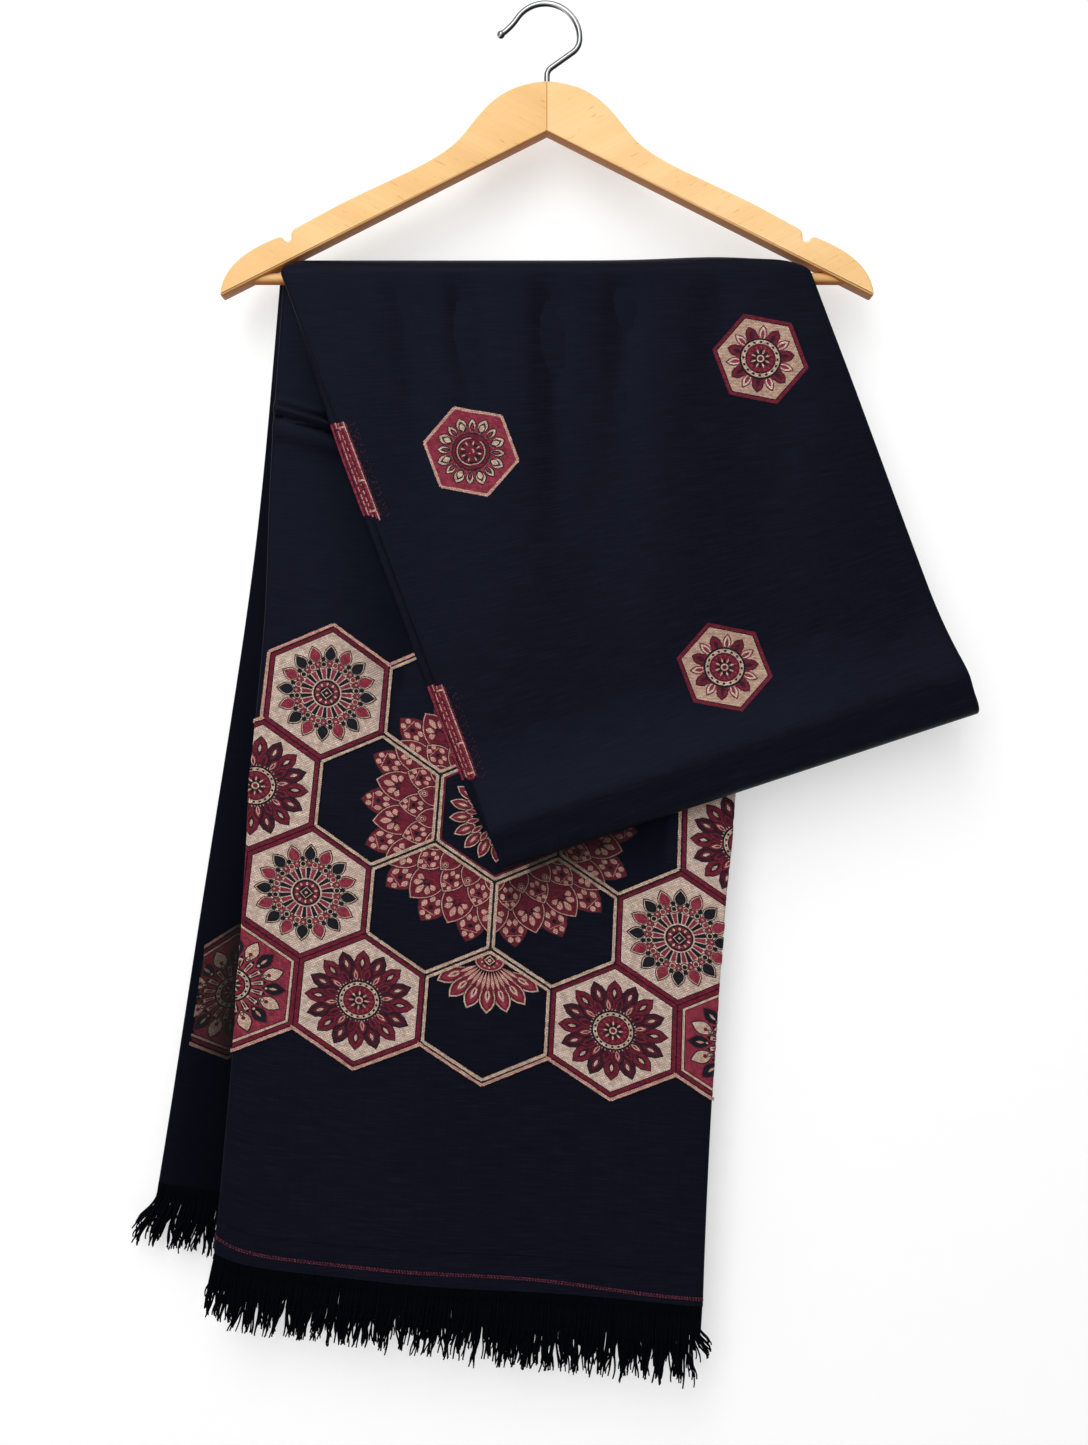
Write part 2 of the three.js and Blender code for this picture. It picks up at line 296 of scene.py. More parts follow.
def wood_material(name, pale, middle, deep, turn=0.0):
    """Varnished beech, its grain along X once turned about Y, with painted shade that deepens its colour on
    its undersides.
    """
    shader = Shader(name, Roughness=0.45, Coat_Weight=0.06, Coat_Roughness=0.25, Specular_IOR_Level=0.2)
    place = shader.mapped(shader.coordinates("Object"), turn=(0, turn, 0))
    broad = shader.noise(place, (3, 40, 40), 3)
    fine = shader.noise(place, (16, 600, 600), 3, 0.6)
    flecks = shader.noise(place, (90, 900, 900), 1)
    base = shader.ramp(shader.total((broad, 0.7), (fine, 0.3)), (0.3, deep), (0.5, middle), (0.68, pale))
    spots = shader.ramp(flecks, (0.68, "ffffff"), (0.76, "d9a878"))
    upward = shader.node("SeparateXYZ", {0: shader.coordinates("Normal")}).outputs["Z"]
    # painted shade: the undersides are made darker, as where less light falls on them
    below = shader.ramp(shader.math("MULTIPLY", upward, -1.0), (0.3, "ffffff"), (0.8, "c99d70"))
    shader.link(shader.times(shader.times(base, spots, 0.6), below), "Base Color")
    shader.raise_by(fine, 0.05, 0.3)
    return shader.material


STEEL_REFLECTION_TONES = ((0.05, "5c5d60"), (0.16, "151617"), (0.34, "242527"), (0.46, "636466"))
STEEL_REFLECTION_TONES += ((0.56, "b6b7b9"), (0.67, "87888b"), (0.78, "38393b"), (0.9, "77787b"))
REFLECTION_ACROSS = (-0.74, -0.3, 0.6)  # the direction that the painted reflection's bands follow one another in


def steel_material():
    """Polished wire with a painted reflection: pale and dark bands in its colour by the way its surface
    faces, as in a studio.
    """
    shader = Shader("bright_steel", Metallic=1.0, Roughness=0.17)
    inputs = {0: shader.coordinates("Normal"), 1: REFLECTION_ACROSS}
    # painted reflection: the colour's bands follow the surface's facing, not the lamps
    upward = shader.node("VectorMath", inputs, operation="DOT_PRODUCT").outputs["Value"]
    scratches = shader.noise(shader.coordinates("Object"), (150, 150, 400))
    tone = shader.math("ADD", shader.total((upward, 0.5), (scratches, 0.04)), 0.48)
    shader.link(shader.ramp(tone, *STEEL_REFLECTION_TONES), "Base Color")
    shader.raise_by(scratches, 0.02, 0.2)
    return shader.material


# ---------- the shape of the cloth ----------


TROUGHS = (  # in the front panel, under the bar: where, how slanted, deep, wide and long
    (-98, 0.10, 2.4, 11, 170),
    (-57, 0.06, 3.8, 9, 200),
    (3, 0.02, 4.0, 9, 210),
    (54, -0.04, 3.2, 10, 190),
    (121, -0.2, 2.0, 14, 150),
)


def ripple(x, drop):
    """Shallow ripples in the front panel, and the troughs under the bar."""
    broad = 1.2 * np.sin(x / 18) * smooth(drop / 90) * smooth((420 - drop) / 300)
    close = sum(
        deep * bump((x - at - slant * drop) / wide) * smooth((reach - drop) / reach)
        for at, slant, deep, wide, reach in TROUGHS
    )
    return broad + close * smooth(drop / 14)


def sway(x, drop):
    """A slow wave that grows down the ends."""
    return 2.4 * smooth(drop / 650) * np.sin(x / 31 + 1)


def tuck(x, z):
    """The pinched crease across the front end, above the band, from its left edge."""
    along, below = x + 186, -279.5 - z - (x + 186) * 0.3
    fade = smooth((70 - along) / 30)
    return fade * (2.8 * bump(below / 1.8) - 4.6 * bump((below + 5) / 5) - 2.4 * bump((below - 8) / 8))


def roll(x, z):
    """The rear end's left edge rolls back a little, past a groove along its fold."""
    inside = x - REAR_END.left(BAR_Z - z)
    rolled = 3.5 * (1 - np.clip(inside / 42, 0, 1)) ** 2 * smooth((BAR_Z - z) / 250)
    return rolled + 0.8 * bump((inside - BORDER - 1) / 1.2)


class End:
    """An end of the folded shawl, behind the bar."""

    def __init__(self, left, right, foot, depth, facing, crease):
        self.left, self.right, self.foot, self.depth = left, right, foot, depth
        self.facing, self.crease = facing, crease

    def across(self, x, z):
        """Where x lies across the stack at a height."""
        left, right = self.left(BAR_Z - z), self.right(BAR_Z - z)
        return (x - left) / (right - left) * FOLDED_WIDTH

    def place(self, u, z, n):
        drop = BAR_Z - z
        x = lerp(self.left(drop), self.right(drop), u / FOLDED_WIDTH)
        y = self.depth(drop) + self.facing * n + sway(x, drop) + self.crease(x, z)
        return np.stack(np.broadcast_arrays(x, y, z), -1)

    def at(self, share, u, n):
        return self.place(u, BAR_Z - share * (BAR_Z - self.foot(u / FOLDED_WIDTH)), n)


FRONT_END = End(
    left=lambda d: -181.5 - 0.071 * d + 4 * bump((d - 230) / 80) + 3.8 * bump((d - 480) / 180),
    right=lambda d: 175 - 0.165 * d + 9.6e-5 * d * d,
    foot=lambda share: -852.5 - 35.9 * share - 10.5 * (1 - np.exp(-share / 0.06)) * (1 - share) ** 0.9,
    depth=lambda d: INNER_R - 6 * smooth((d - 30) / 200),
    facing=1,
    crease=tuck,
)
REAR_END = End(
    left=lambda d: -184.5 - 0.085 * d - 8e-5 * d * d - 5.4 * bump((d - 430) / 215),
    right=lambda d: 175 - 0.165 * d,
    foot=lambda share: -811 - 45 * share,
    depth=lambda d: OUTER_R + END_DRIFT * smooth(d / 200),
    facing=-1,
    crease=roll,
)


def front_plane(u, h):
    x = TIP_X + u * math.cos(FOLD_RISE) - h * math.sin(LEAN)
    z = TIP_Z + u * math.sin(FOLD_RISE) + h * math.cos(LEAN)
    return x, z


def front_reach(u):
    return (BAR_Z - TIP_Z - u * math.sin(FOLD_RISE)) / math.cos(LEAN)


def on_front_rear(u, h, n):
    """On the rear stack of the front panel, which shows a little to the left of the other."""
    x, z = front_plane(u, h)
    x = x - STAGGER * smooth(h / 60) * smooth((front_reach(u) - h) / 140)
    return np.stack([x, -INNER_R - n + ripple(x, BAR_Z - z), z], -1)


ROLL_OUT, ROLL_AT, ROLL_WIDE = 6, 23, 20  # a soft roll over the panel's foot


def front_depth(h):
    """How far forward the front panel's outer stack is: it swells towards its foot."""
    swell = INNER_R + 2 * LOOP_R - OUTER_R
    roll_out = ROLL_OUT * bump((h - ROLL_AT) / ROLL_WIDE) * smooth((h - LOOP_R) / ROLL_WIDE)
    return OUTER_R + swell * (1 - smooth((h - LOOP_R) / (LOOP_REACH - LOOP_R))) + roll_out


def on_front_face(u, h, n):
    slope = np.where(h > LOOP_R, front_depth(h - 0.5) - front_depth(h + 0.5), 0)
    size = np.hypot(1, slope)
    x, z = front_plane(u, h - n * slope / size)
    return np.stack([x, n / size - front_depth(h) + ripple(x, BAR_Z - z), z], -1)


def on_loop(u, angle, n):
    radius = LOOP_R - n
    x, z = front_plane(u, LOOP_R - radius * math.sin(angle))
    y = -INNER_R - LOOP_R + radius * math.cos(angle)
    return np.stack([x, y + ripple(x, BAR_Z - z), z], -1)


def on_bar(end, radius, u, angle):
    """Over the bar: the angle is 0 behind it and a half turn in front."""
    behind = lerp(end.left(0.0), end.right(0.0), u / FOLDED_WIDTH)
    before = front_plane(u, front_reach(u))[0]
    x = lerp(behind, before, angle / math.pi) * (1 - SQUEEZE * math.sin(angle) ** 3)
    share, over = u / FOLDED_WIDTH, math.sin(angle)
    x = x - 9 * smooth((share - 0.8) / 0.2) * over**1.5
    bulge = 2.4 * bump((share - 0.86) / 0.14) * over
    return np.stack([x, radius * math.cos(angle), BAR_Z + radius * over + bulge], -1)


BETWEEN_LIGHT = (0.015, 0.5)  # the light that the painted shade between the ends leaves: at the front end's edge, at the rear end's
SIDE_SHADE = 0.8  # the share of light, painted as shade, that the front panel keeps from the front end beside it
SIDE_REACH = (10, 34)  # how far that shade reaches, at the bar and SIDE_DEEPEST below it
SIDE_DEEPEST = 220


def painted_shade_at(points):
    """Painted shade, as a factor on the colour: how much light gets between the ends, and to the front end
    beside the front panel.
    """
    x, y, z = points.T
    drop = BAR_Z - z
    layer = REAR_END.facing * (y - REAR_END.depth(drop) - sway(x, drop) - roll(x, z))
    edge = FRONT_END.left(drop)
    share = np.clip((edge - x) / (edge - REAR_END.left(drop)), 0, 1)
    depth = smooth((drop - 40) / 60) * (layer > 0.3) * (layer < PITCH + 3)
    between = 1 - depth * (1 - lerp(*BETWEEN_LIGHT, share**1.7))
    run, rise = x - TIP_X, z - TIP_Z
    u = run * math.cos(LEAN) + rise * math.sin(LEAN)
    h = rise * math.cos(FOLD_RISE) - run * math.sin(FOLD_RISE)
    past = np.maximum(np.maximum(-u, -h), 0)
    reach = lerp(*SIDE_REACH, smooth(drop / SIDE_DEEPEST))
    on_end = (abs(y) < OUTER_R) * (y > STACK - INNER_R) * smooth((drop - 20) / 50)
    return between * (1 - SIDE_SHADE * on_end * np.exp(-((past / reach) ** 2)))


def section_path():
    """The folded section, from the inner free edge to the outer one.

    Each row holds u, n, the direction of the good side there, and the flat distance.
    """
    rows = []

    def layer(start, end, n, facing, columns):
        for t in np.linspace(0, 1, columns + 1):
            rows.append((lerp(start, end, t), n, 0, facing))

    def fold(u, n, radius, start, steps):
        for t in np.linspace(0, 1, steps + 1)[1:-1]:
            c, s = math.cos(start - math.pi * t), math.sin(start - math.pi * t)
            rows.append((u + radius * c, n + radius * s, c, s))

    layer(LEFT_FOLD + TUCK, RIGHT_FOLD, 0, 1, 12)
    fold(RIGHT_FOLD, -PITCH / 2, PITCH / 2, math.pi / 2, 6)
    layer(RIGHT_FOLD, LEFT_FOLD, -PITCH, -1, 80)
    fold(LEFT_FOLD, 0, PITCH, -math.pi / 2, 8)
    layer(LEFT_FOLD, RIGHT_FOLD - TUCK, PITCH, 1, 36)
    path = np.array(rows, float)
    steps = np.hypot(*np.diff(path[:, :2], axis=0).T)
    return np.column_stack([path, np.concatenate([[0], np.cumsum(steps)])])


def stations():
    """Places along the shawl from the front end's foot to the rear end's, as functions of u and n."""
    found = []

    def along(count, place, start=0.0, end=1.0):
        for t in np.linspace(start, end, count, endpoint=False):
            found.append(lambda u, n, t=float(t): place(t, u, n))

    def hang(u, t):
        return lerp(LOOP_REACH, front_reach(u), t)

    along(70, FRONT_END.at, 1, 0.2)
    along(40, FRONT_END.at, 0.2, 0.06)
    along(6, FRONT_END.at, 0.06, 0)
    along(18, lambda t, u, n: on_bar(FRONT_END, INNER_R + n, u, math.pi * t))
    along(20, lambda t, u, n: on_front_rear(u, hang(u, t), n), 1, 0)
    along(12, lambda t, u, n: on_front_rear(u, t, n), LOOP_REACH, LOOP_R)
    along(14, lambda t, u, n: on_loop(u, math.pi * t, n))
    along(20, lambda t, u, n: on_front_face(u, t, n), LOOP_R, LOOP_REACH)
    along(24, lambda t, u, n: on_front_face(u, hang(u, t), n))
    along(18, lambda t, u, n: on_bar(REAR_END, OUTER_R - n, u, math.pi * t), 1, 0)
    along(56, REAR_END.at)
    found.append(lambda u, n: REAR_END.at(1.0, u, n))
    return found


def shawl_cloth(material):
    path = section_path()
    u, n, out_u, out_n, flat = path.T
    half = SHEET / 2
    good = (u + half * out_u, n + half * out_n)
    wrong = (u - half * out_u, n - half * out_n)
    ring_u = np.concatenate([good[0], wrong[0][::-1]])
    ring_n = np.concatenate([good[1], wrong[1][::-1]])
    ring_w = np.concatenate([flat, flat[::-1]])
    rings = [place(ring_u, ring_n) for place in stations()]
    size, middle = len(ring_u), len(u) // 2
    lengths = np.cumsum([0] + [np.linalg.norm(b[middle] - a[middle]) for a, b in zip(rings, rings[1:])])
    uv = [np.column_stack([ring_w, np.full(size, length)]) for length in lengths]
    faces = ring_faces(len(rings), size)
    last = (len(rings) - 1) * size
    for i in range(len(u) - 1):
        j = size - 1 - i
        faces += [(i, j, j - 1, i + 1), (last + i, last + i + 1, last + j - 1, last + j)]
    points = np.concatenate(rings)
    piece = mesh_object("shawl_cloth", points, faces, material, np.concatenate(uv), 50, painted_shade_at(points))
    turn_faces_out(piece)
    return piece


# ---------- embroidery: where it lies ----------


def section(q, lift):
    """The good side at q, unfolded across the panel, raised by lift: where in the stack that is."""
    left_turn = np.clip((LEFT_FOLD - q) / LEFT_FOLD_R, 0, np.pi)
    past = np.maximum(LEFT_FOLD - q - np.pi * LEFT_FOLD_R, 0)
    right_turn = np.clip((q - RIGHT_FOLD) / RIGHT_FOLD_R, 0, np.pi)
    left_r, right_r = LEFT_FOLD_R + lift, RIGHT_FOLD_R + lift
    u = np.clip(q, LEFT_FOLD, RIGHT_FOLD) + past
    u = u - left_r * np.sin(left_turn) + right_r * np.sin(right_turn)
    n = np.where(q > RIGHT_FOLD, -PITCH / 2 - right_r * np.cos(right_turn), -left_r * np.cos(left_turn))
    return u, n


NO_ROWS = (-2000, 2000)  # past both ends of every ground, so nothing is cut there
SLAB = 8  # no stitched shape spans more of the rippled cloth than this without a fresh edge


class Ground:
    """A face of the cloth that takes embroidery, between the first and the last of its cuts.

    flat() takes a place in the pattern's plane (a to the right, b down) to (q, v): q is
    unfolded across the panel. on() takes (u, v, n) to the frame's axes. Shapes are cut at
    the rows, too, where the cloth bends along v.
    """

    def __init__(self, flat, on, cuts, rows=NO_ROWS):
        self.flat, self.on = flat, on
        self.cuts, self.rows = np.array(sorted(cuts)), np.array(rows)

    def place(self, q, v, lift):
        u, n = section(q, lift)
        return self.on(u, v, n)


def face_cuts(quarters):
    """Across the good side and round the left fold by so many quarters of its half turn."""
    left = [LEFT_FOLD - LEFT_FOLD_R * math.pi * k / 4 for k in range(1, quarters + 1)]
    right = [RIGHT_FOLD + RIGHT_FOLD_R * math.pi * k / 4 for k in range(1, 3)]
    return [*left, *np.linspace(LEFT_FOLD, RIGHT_FOLD, round((RIGHT_FOLD - LEFT_FOLD) / SLAB) + 1), *right]


def flap_cuts(start, end):
    """On the flap past the left fold, between two distances from it."""
    return LEFT_FOLD - math.pi * LEFT_FOLD_R - np.arange(start, end, SLAB)


def end_ground(end, origin, right, down, cuts, spread=0.0):
    """The pattern's plane laid on an end, given its origin and its two directions in XZ."""

    def flat(a, b):
        a = a * (1 + spread * b)
        x = origin[0] + a * right[0] + b * down[0]
        z = origin[1] + a * right[1] + b * down[1]
        return end.across(x, z), z

    return Ground(flat, end.place, cuts)


def strip_ground(on, centre, side=1):
    """The pattern's plane laid on the front panel, about a place (u, h)."""
    cuts = [*face_cuts(4), *flap_cuts(SLAB, 2 * SLAB)]
    return Ground(lambda a, b: (centre[0] + side * a, centre[1] - b), on, cuts, np.arange(0, 480, 5))


def clipped(polygon, axis, low, high):
    """The part of a polygon between two values on one of its two axes."""
    for limit, sign in ((low, 1), (high, -1)):
        inside = sign * (polygon[:, axis] - limit) >= 0
        if inside.all():
            continue
        kept = []
        for k, start in enumerate(polygon):
            after = (k + 1) % len(polygon)
            if inside[k]:
                kept.append(start)
            if inside[k] != inside[after]:
                end = polygon[after]
                crossing = lerp(start, end, (limit - start[axis]) / (end[axis] - start[axis]))
                crossing[axis] = limit
                kept.append(crossing)
        if len(kept) < 3:
            return None
        polygon = np.array(kept)
    return polygon


def sliced(polygons, axis, cuts):
    """Polygons cut wherever they cross a value on one of their axes; what lies outside is dropped."""
    parts = []
    for polygon in polygons:
        first = max(np.searchsorted(cuts, polygon[:, axis].min(), "right") - 1, 0)
        last = min(np.searchsorted(cuts, polygon[:, axis].max()), len(cuts) - 1)
        found = [clipped(polygon, axis, cuts[k], cuts[k + 1]) for k in range(first, last)]
        parts += [part for part in found if part is not None]
    return parts


BASE = -0.15  # stitched shapes start just under the cloth's surface
LIFT, LEVEL = 0.22, 0.085  # the height of level 0, and of each level above it
STITCHED = {}  # by thread: the grounds and places of its shapes, their faces, how many places


def lay(ground, thread, level, polygons):
    """Lays polygons that share edges as one raised shape, given in the pattern's plane."""
    flat = [np.column_stack(ground.flat(*polygon.T)) for polygon in polygons]
    index, faces = {}, []
    for part in sliced(sliced(flat, 0, ground.cuts), 1, ground.rows):
        keys = [(round(q, 3), round(v, 3)) for q, v in part]
        for key, place in zip(keys, part):
            index.setdefault(key, (len(index), place))
        face = [index[key][0] for key in keys]
        face = [i for i, before in zip(face, face[-1:] + face) if i != before]
        if len(set(face)) > 2:
            faces.append(face)
    if not faces:
        return
    count = len(index)
    edges = dict.fromkeys(pair for face in faces for pair in zip(face, face[1:] + face[:1]))
    solid = faces + [[i + count for i in reversed(face)] for face in faces]
    solid += [[j, i, i + count, j + count] for i, j in edges if (j, i) not in edges]
    places = np.array([place for _, place in index.values()])
    lifts = np.repeat([LIFT + LEVEL * level, BASE], count)
    shapes, all_faces, first = STITCHED.setdefault(thread, ([], [], [0]))
    all_faces += [[i + first[0] for i in face] for face in solid]
    shapes.append((ground, np.column_stack([np.tile(places, (2, 1)), lifts])))
    first[0] += 2 * count


def embroidery(materials):
    """One piece for each thread."""
    made = []
    for thread, (shapes, faces, _) in STITCHED.items():
        points = np.concatenate([ground.place(*places.T) for ground, places in shapes])
        uv = np.concatenate([places[:, :2] for _, places in shapes])
        name = "embroidery_" + thread
        made.append(mesh_object(name, points, faces, materials[thread], uv, 0, painted_shade_at(points)))
        turn_faces_out(made[-1])
    return made


# ---------- embroidery: outlines ----------
# A motif's outlines are in (across, out): out from its centre, across to the clockwise side.


def leaf(base, tip, width, peak=0.5, fullness=1.0, steps=5):
    t = np.linspace(0, 1, steps + 1)
    half = width / 2 * np.sin(np.pi * t ** (math.log(0.5) / math.log(peak))) ** fullness
    half[-1] = 0
    out = lerp(base, tip, t)
    side = np.column_stack([half, out])
    back = np.column_stack([-half, out])[-2:0:-1]
    return np.concatenate([side, back])


def bar(base, tip, start, end):
    return np.array([(start / 2, base), (end / 2, tip), (-end / 2, tip), (-start / 2, base)])


def disc(radius, out=0.0, sides=12, squash=1.0):
    angle = np.linspace(0, 2 * np.pi, sides, endpoint=False)
    return np.column_stack([squash * radius * np.sin(angle), out + radius * np.cos(angle)])


def turned(outline, angle, centre):
    """An outline turned clockwise about its motif's centre, in the pattern's plane."""
    across, out = outline.T
    c, s = math.cos(angle), math.sin(angle)
    return np.column_stack([centre[0] + out * s + across * c, centre[1] - out * c + across * s])


def ring(inner, outer, sides=32):
    """A ring as a list of quads that share edges."""
    turns = np.linspace(0, 2 * np.pi, sides + 1)
    rims = [np.column_stack([radius * np.sin(turns), radius * np.cos(turns)]) for radius in (inner, outer)]
    near, far = rims
    return [np.array([near[k], far[k], far[k + 1], near[k + 1]]) for k in range(sides)]


def hexagon(inset, centre, side=CELL_SIDE):
    """The corners of a cell, clockwise from the top, drawn in by inset from its sides."""
    radius = side - inset / math.cos(math.pi / 6)
    angle = np.arange(6) * math.pi / 3
    return np.column_stack([centre[0] + radius * np.sin(angle), centre[1] - radius * np.cos(angle)])


def hexagon_ring(outer, inner, centre, side=CELL_SIDE, splits=6):
    shares = np.linspace(0, 1, splits + 1)[:-1, None]
    rims = []
    for inset in (outer, inner):
        corners = hexagon(inset, centre, side)
        sides = [lerp(corners[k], corners[(k + 1) % 6], shares) for k in range(6)]
        rims.append(np.concatenate(sides + [corners[:1]]))
    far, near = rims
    return [np.array([far[k], far[k + 1], near[k + 1], near[k]]) for k in range(6 * splits)]


def hexagon_field(inset, centre, side=CELL_SIDE, cells=5):
    """A filled cell as a lattice of small triangles, so that it follows the cloth."""
    corners = hexagon(inset, centre, side)
    middle = np.array(centre, float)
    triangles = []
    for k in range(6):
        first, second = (corners[k] - middle) / cells, (corners[(k + 1) % 6] - middle) / cells
        for i in range(cells):
            for j in range(cells - i):
                corner = middle + i * first + j * second
                triangles.append(np.array([corner, corner + first, corner + second]))
                if i + j < cells - 1:
                    triangles.append(np.array([corner + first, corner + first + second, corner + second]))
    return triangles


# ---------- embroidery: motifs ----------
# A motif is rows of: how many shapes go round its centre, by what share of a step they are
# turned, their thread, their level, and their outline.


def draw(ground, rows, centre=(0.0, 0.0), base=1):
    """Stitches a motif's rows about a centre, from a base level up."""
    for count, shift, thread, level, outline in rows:
        shapes = outline if isinstance(outline, list) else [outline]
        for k in range(count):
            angle = 2 * math.pi * (k + shift) / count
            lay(ground, thread, base + level, [turned(shape, angle, centre) for shape in shapes])


def medallion(outer, dots):
    """A beaded ring about a dark boss."""
    core = 0.54 * outer
    return [
        (1, 0, "black", 5, disc(outer + 1.3, 0, 32)),
        (1, 0, "beige", 6, disc(outer, 0, 32)),
        (dots, 0, "black", 7, bar(outer - 2.1, outer - 0.7, 1.5, 1.8)),
        (1, 0, "black", 7, disc(outer - 2.6, 0, 32)),
        (1, 0, "wine", 8, disc(outer - 3.2, 0, 32)),
        (16, 0, "red", 9, leaf(core - 0.4, outer - 3.6, 1.3)),
        (8, 0.5, "black", 9, leaf(0.5, core, 1.8)),
        (8, 0, "beige", 10, leaf(0.26 * outer, core - 0.2, 1.2)),
        (1, 0, "beige", 10, disc(0.2 * outer)),
        (1, 0, "wine", 11, disc(0.13 * outer, 0, 8)),
    ]


def wheel():
    """Leaves in two colours round a wheel of bars."""
    return [
        (16, 0.5, "black", 0, disc(2.9, 21.0)),
        (16, 0.5, "beige", 1, disc(2.3, 21.0)),
        (8, 0.25, "red", 2, disc(1.6, 21.2)),
        (8, 0.75, "black", 2, disc(1.6, 21.2)),
        (16, 0, "black", 1, leaf(18.2, 25.6, 4.8, 0.5, 0.8)),
        (16, 0, "red", 2, leaf(18.8, 25.0, 3.7, 0.5, 0.8)),
        (16, 0, "pink", 3, disc(0.8, 22.0, 6)),
        (16, 0.5, "black", 0, leaf(22.4, 27.2, 3.0)),
        (16, 0, "black", 3, leaf(22.6, 36.2, 10.0, 0.42, 0.85)),
        (16, 0, "beige", 4, leaf(23.2, 35.2, 8.9, 0.42, 0.85)),
        (8, 0, "black", 5, leaf(23.4, 34.6, 7.8, 0.42)),
        (8, 0.5, "red", 5, leaf(23.4, 34.6, 7.8, 0.42)),
        (14, 0, "black", 1, bar(10.6, 18.3, 1.7, 3.2)),
        (14, 0.5, "red", 1, bar(10.6, 17.8, 1.7, 3.2)),
        (1, 0, "black", 3, disc(9.6, 0, 32)),
        (1, 0, "wine", 4, disc(8.4, 0, 32)),
        (10, 0, "beige", 5, leaf(5.4, 8.0, 1.7)),
        (10, 0.5, "red", 5, disc(0.9, 6.9, 6)),
        (1, 0, "black", 5, disc(4.9, 0, 20)),
        (1, 0, "beige", 6, disc(4.4, 0, 4)),
        (1, 0, "black", 7, disc(3.7, 0, 4)),
        (1, 0, "pink", 8, disc(1.2, 0, 4)),
    ]


def star():
    """Pointed petals with pale eyes, in two rows, round a medallion."""
    rows = medallion(13.4, 18)
    for shift, level, inside, glow in ((0.5, 0, "purple", "wine"), (0, 1, "wine", "purple")):
        rows += [
            (8, shift, "black", level, leaf(13.5, 37.2, 11.4, 0.6, 0.9)),
            (8, shift, inside, level + 1, leaf(14.0, 36.4, 10.4, 0.6, 0.9)),
            (8, shift, glow, level + 2, leaf(21.5, 32.6, 4.4)),
            (8, shift, "black", level + 3, leaf(24.0, 31.2, 2.9)),
            (8, shift, "beige", level + 4, leaf(24.8, 30.4, 2.1)),
        ]
    return rows + [
        (16, 0.5, "black", 3, leaf(12.6, 25.4, 6.4, 0.55)),
        (16, 0.5, "wine", 4, leaf(13.2, 24.6, 5.2, 0.55)),
        (8, 0.25, "purple", 5, leaf(14.6, 22.0, 2.6, 0.55)),
        (8, 0.75, "pink", 5, leaf(14.6, 22.6, 2.8)),
        (8, 0.75, "wine", 6, leaf(15.6, 20.6, 1.2)),
    ]


def burst():
    """Pale and dark petals on spokes, for a red cell."""
    return medallion(11.4, 16) + [
        (8, 0, "wine", 0, leaf(19.0, 36.4, 10.6)),
        (8, 0, "black", 1, leaf(20.0, 35.2, 9.0)),
        (8, 0.5, "black", 1, leaf(19.0, 36.4, 10.6)),
        (8, 0.5, "beige", 2, leaf(20.0, 35.2, 9.0)),
        (8, 0.5, "wine", 3, disc(1.5, 25.4, 8)),
        (8, 0, "pink", 3, leaf(24.0, 30.0, 1.8)),
        (16, 0.5, "black", 2, leaf(10.5, 23.0, 5.0, 0.6)),
        (16, 0.5, "beige", 3, bar(11.5, 20.5, 1.5, 2.9)),
        (16, 0.5, "wine", 4, bar(14.0, 19.0, 0.8, 1.5)),
        (16, 0, "black", 3, disc(1.5, 22.4, 10)),
        (16, 0, "beige", 4, disc(0.9, 22.4, 8)),
    ]


def scale_outline(base, tip, width, steps=5):
    """A scale: broad, with a short pointed tip."""
    rise = 0.45
    t = np.linspace(0, 1, steps + 1)
    out = np.concatenate([[base], lerp(base, tip, rise + (1 - rise) * t)])
    half = width / 2 * np.concatenate([[0.72], 1 - t**2.3])
    side = np.column_stack([half, out])
    return np.concatenate([side, np.column_stack([-half, out])[-2::-1]])


# What lies on the mandala's scales, drawn for a scale 21 wide about a place on its axis: the
# thread, how far up, and the outline.


def spots():
    """Pale spots about a dark lozenge."""
    found = [("black", 0, disc(2.1, 0, 4))]
    for across, out, wide, long in ((5.4, 0.0, 3.9, 6.0), (2.5, 6.9, 3.9, 4.6), (2.2, -5.9, 3.6, 5.2)):
        spot = leaf(out - long / 2, out + long / 2, wide, 0.5, 0.7)
        found += [("pink", 0, spot + (side * across, 0)) for side in (-1, 1)]
    return found + [("rose", 0, bar(3.5, 4.2, 12, 11))]


def blades():
    """Pale blades that spread from a dark star."""
    found = []
    for turn, long in ((-1.35, 7.8), (-0.68, 9.8), (0.0, 12.0), (0.68, 9.8), (1.35, 7.8)):
        blade = turned(leaf(3.0, long, 3.9, 0.62, 0.85), turn, (0, 0)) * (1, -1)
        found += [("pink", 0, blade), ("black", 0.5, blade * 0.38)]
    return found


def eye():
    """Rings about a dark dot."""
    rings = (("rose", 4.0), ("wine", 3.2), ("beige", 2.2), ("black", 1.2))
    return [(thread, 0.6 * k, disc(radius, 0, 12, 0.85)) for k, (thread, radius) in enumerate(rings)]


SCALES = 18
SCALE_ROWS = (  # how far out, how wide, turned by half a step or not, what lies how far in, the edge
    (96.5, 20.5, 0.0, spots, 12.4, "wine"),
    (88.5, 22.0, 0.5, blades, 17, "pink"),
    (70.0, 17.5, 0.0, spots, 12.4, "pink"),
    (58.5, 14.5, 0.5, eye, 7, "pink"),
)


def mandala():
    """Rows of overlapping scales that reach past the middle cell."""
    rows = [(1, 0, "wine", 0, disc(80, 0, 36))]
    for k, (tip, width, shift, decoration, inward, edge) in enumerate(SCALE_ROWS):
        size = width / 21
        root = tip - 34 * size
        layers = [
            ("black", 0, scale_outline(root, tip + 0.8, width + 1.4)),
            (edge, 0.5, scale_outline(root + 1, tip, width)),
            ("wine", 1, scale_outline(root + 2, tip - 1.0, width - 1.3)),
        ]
        middle = (0, tip - inward * size)
        layers += [(thread, 1.9 + up, outline * size + middle) for thread, up, outline in decoration()]
        rows += [(SCALES, 0.5 + shift, thread, 1 + 2.6 * k + up, outline) for thread, up, outline in layers]
    return rows


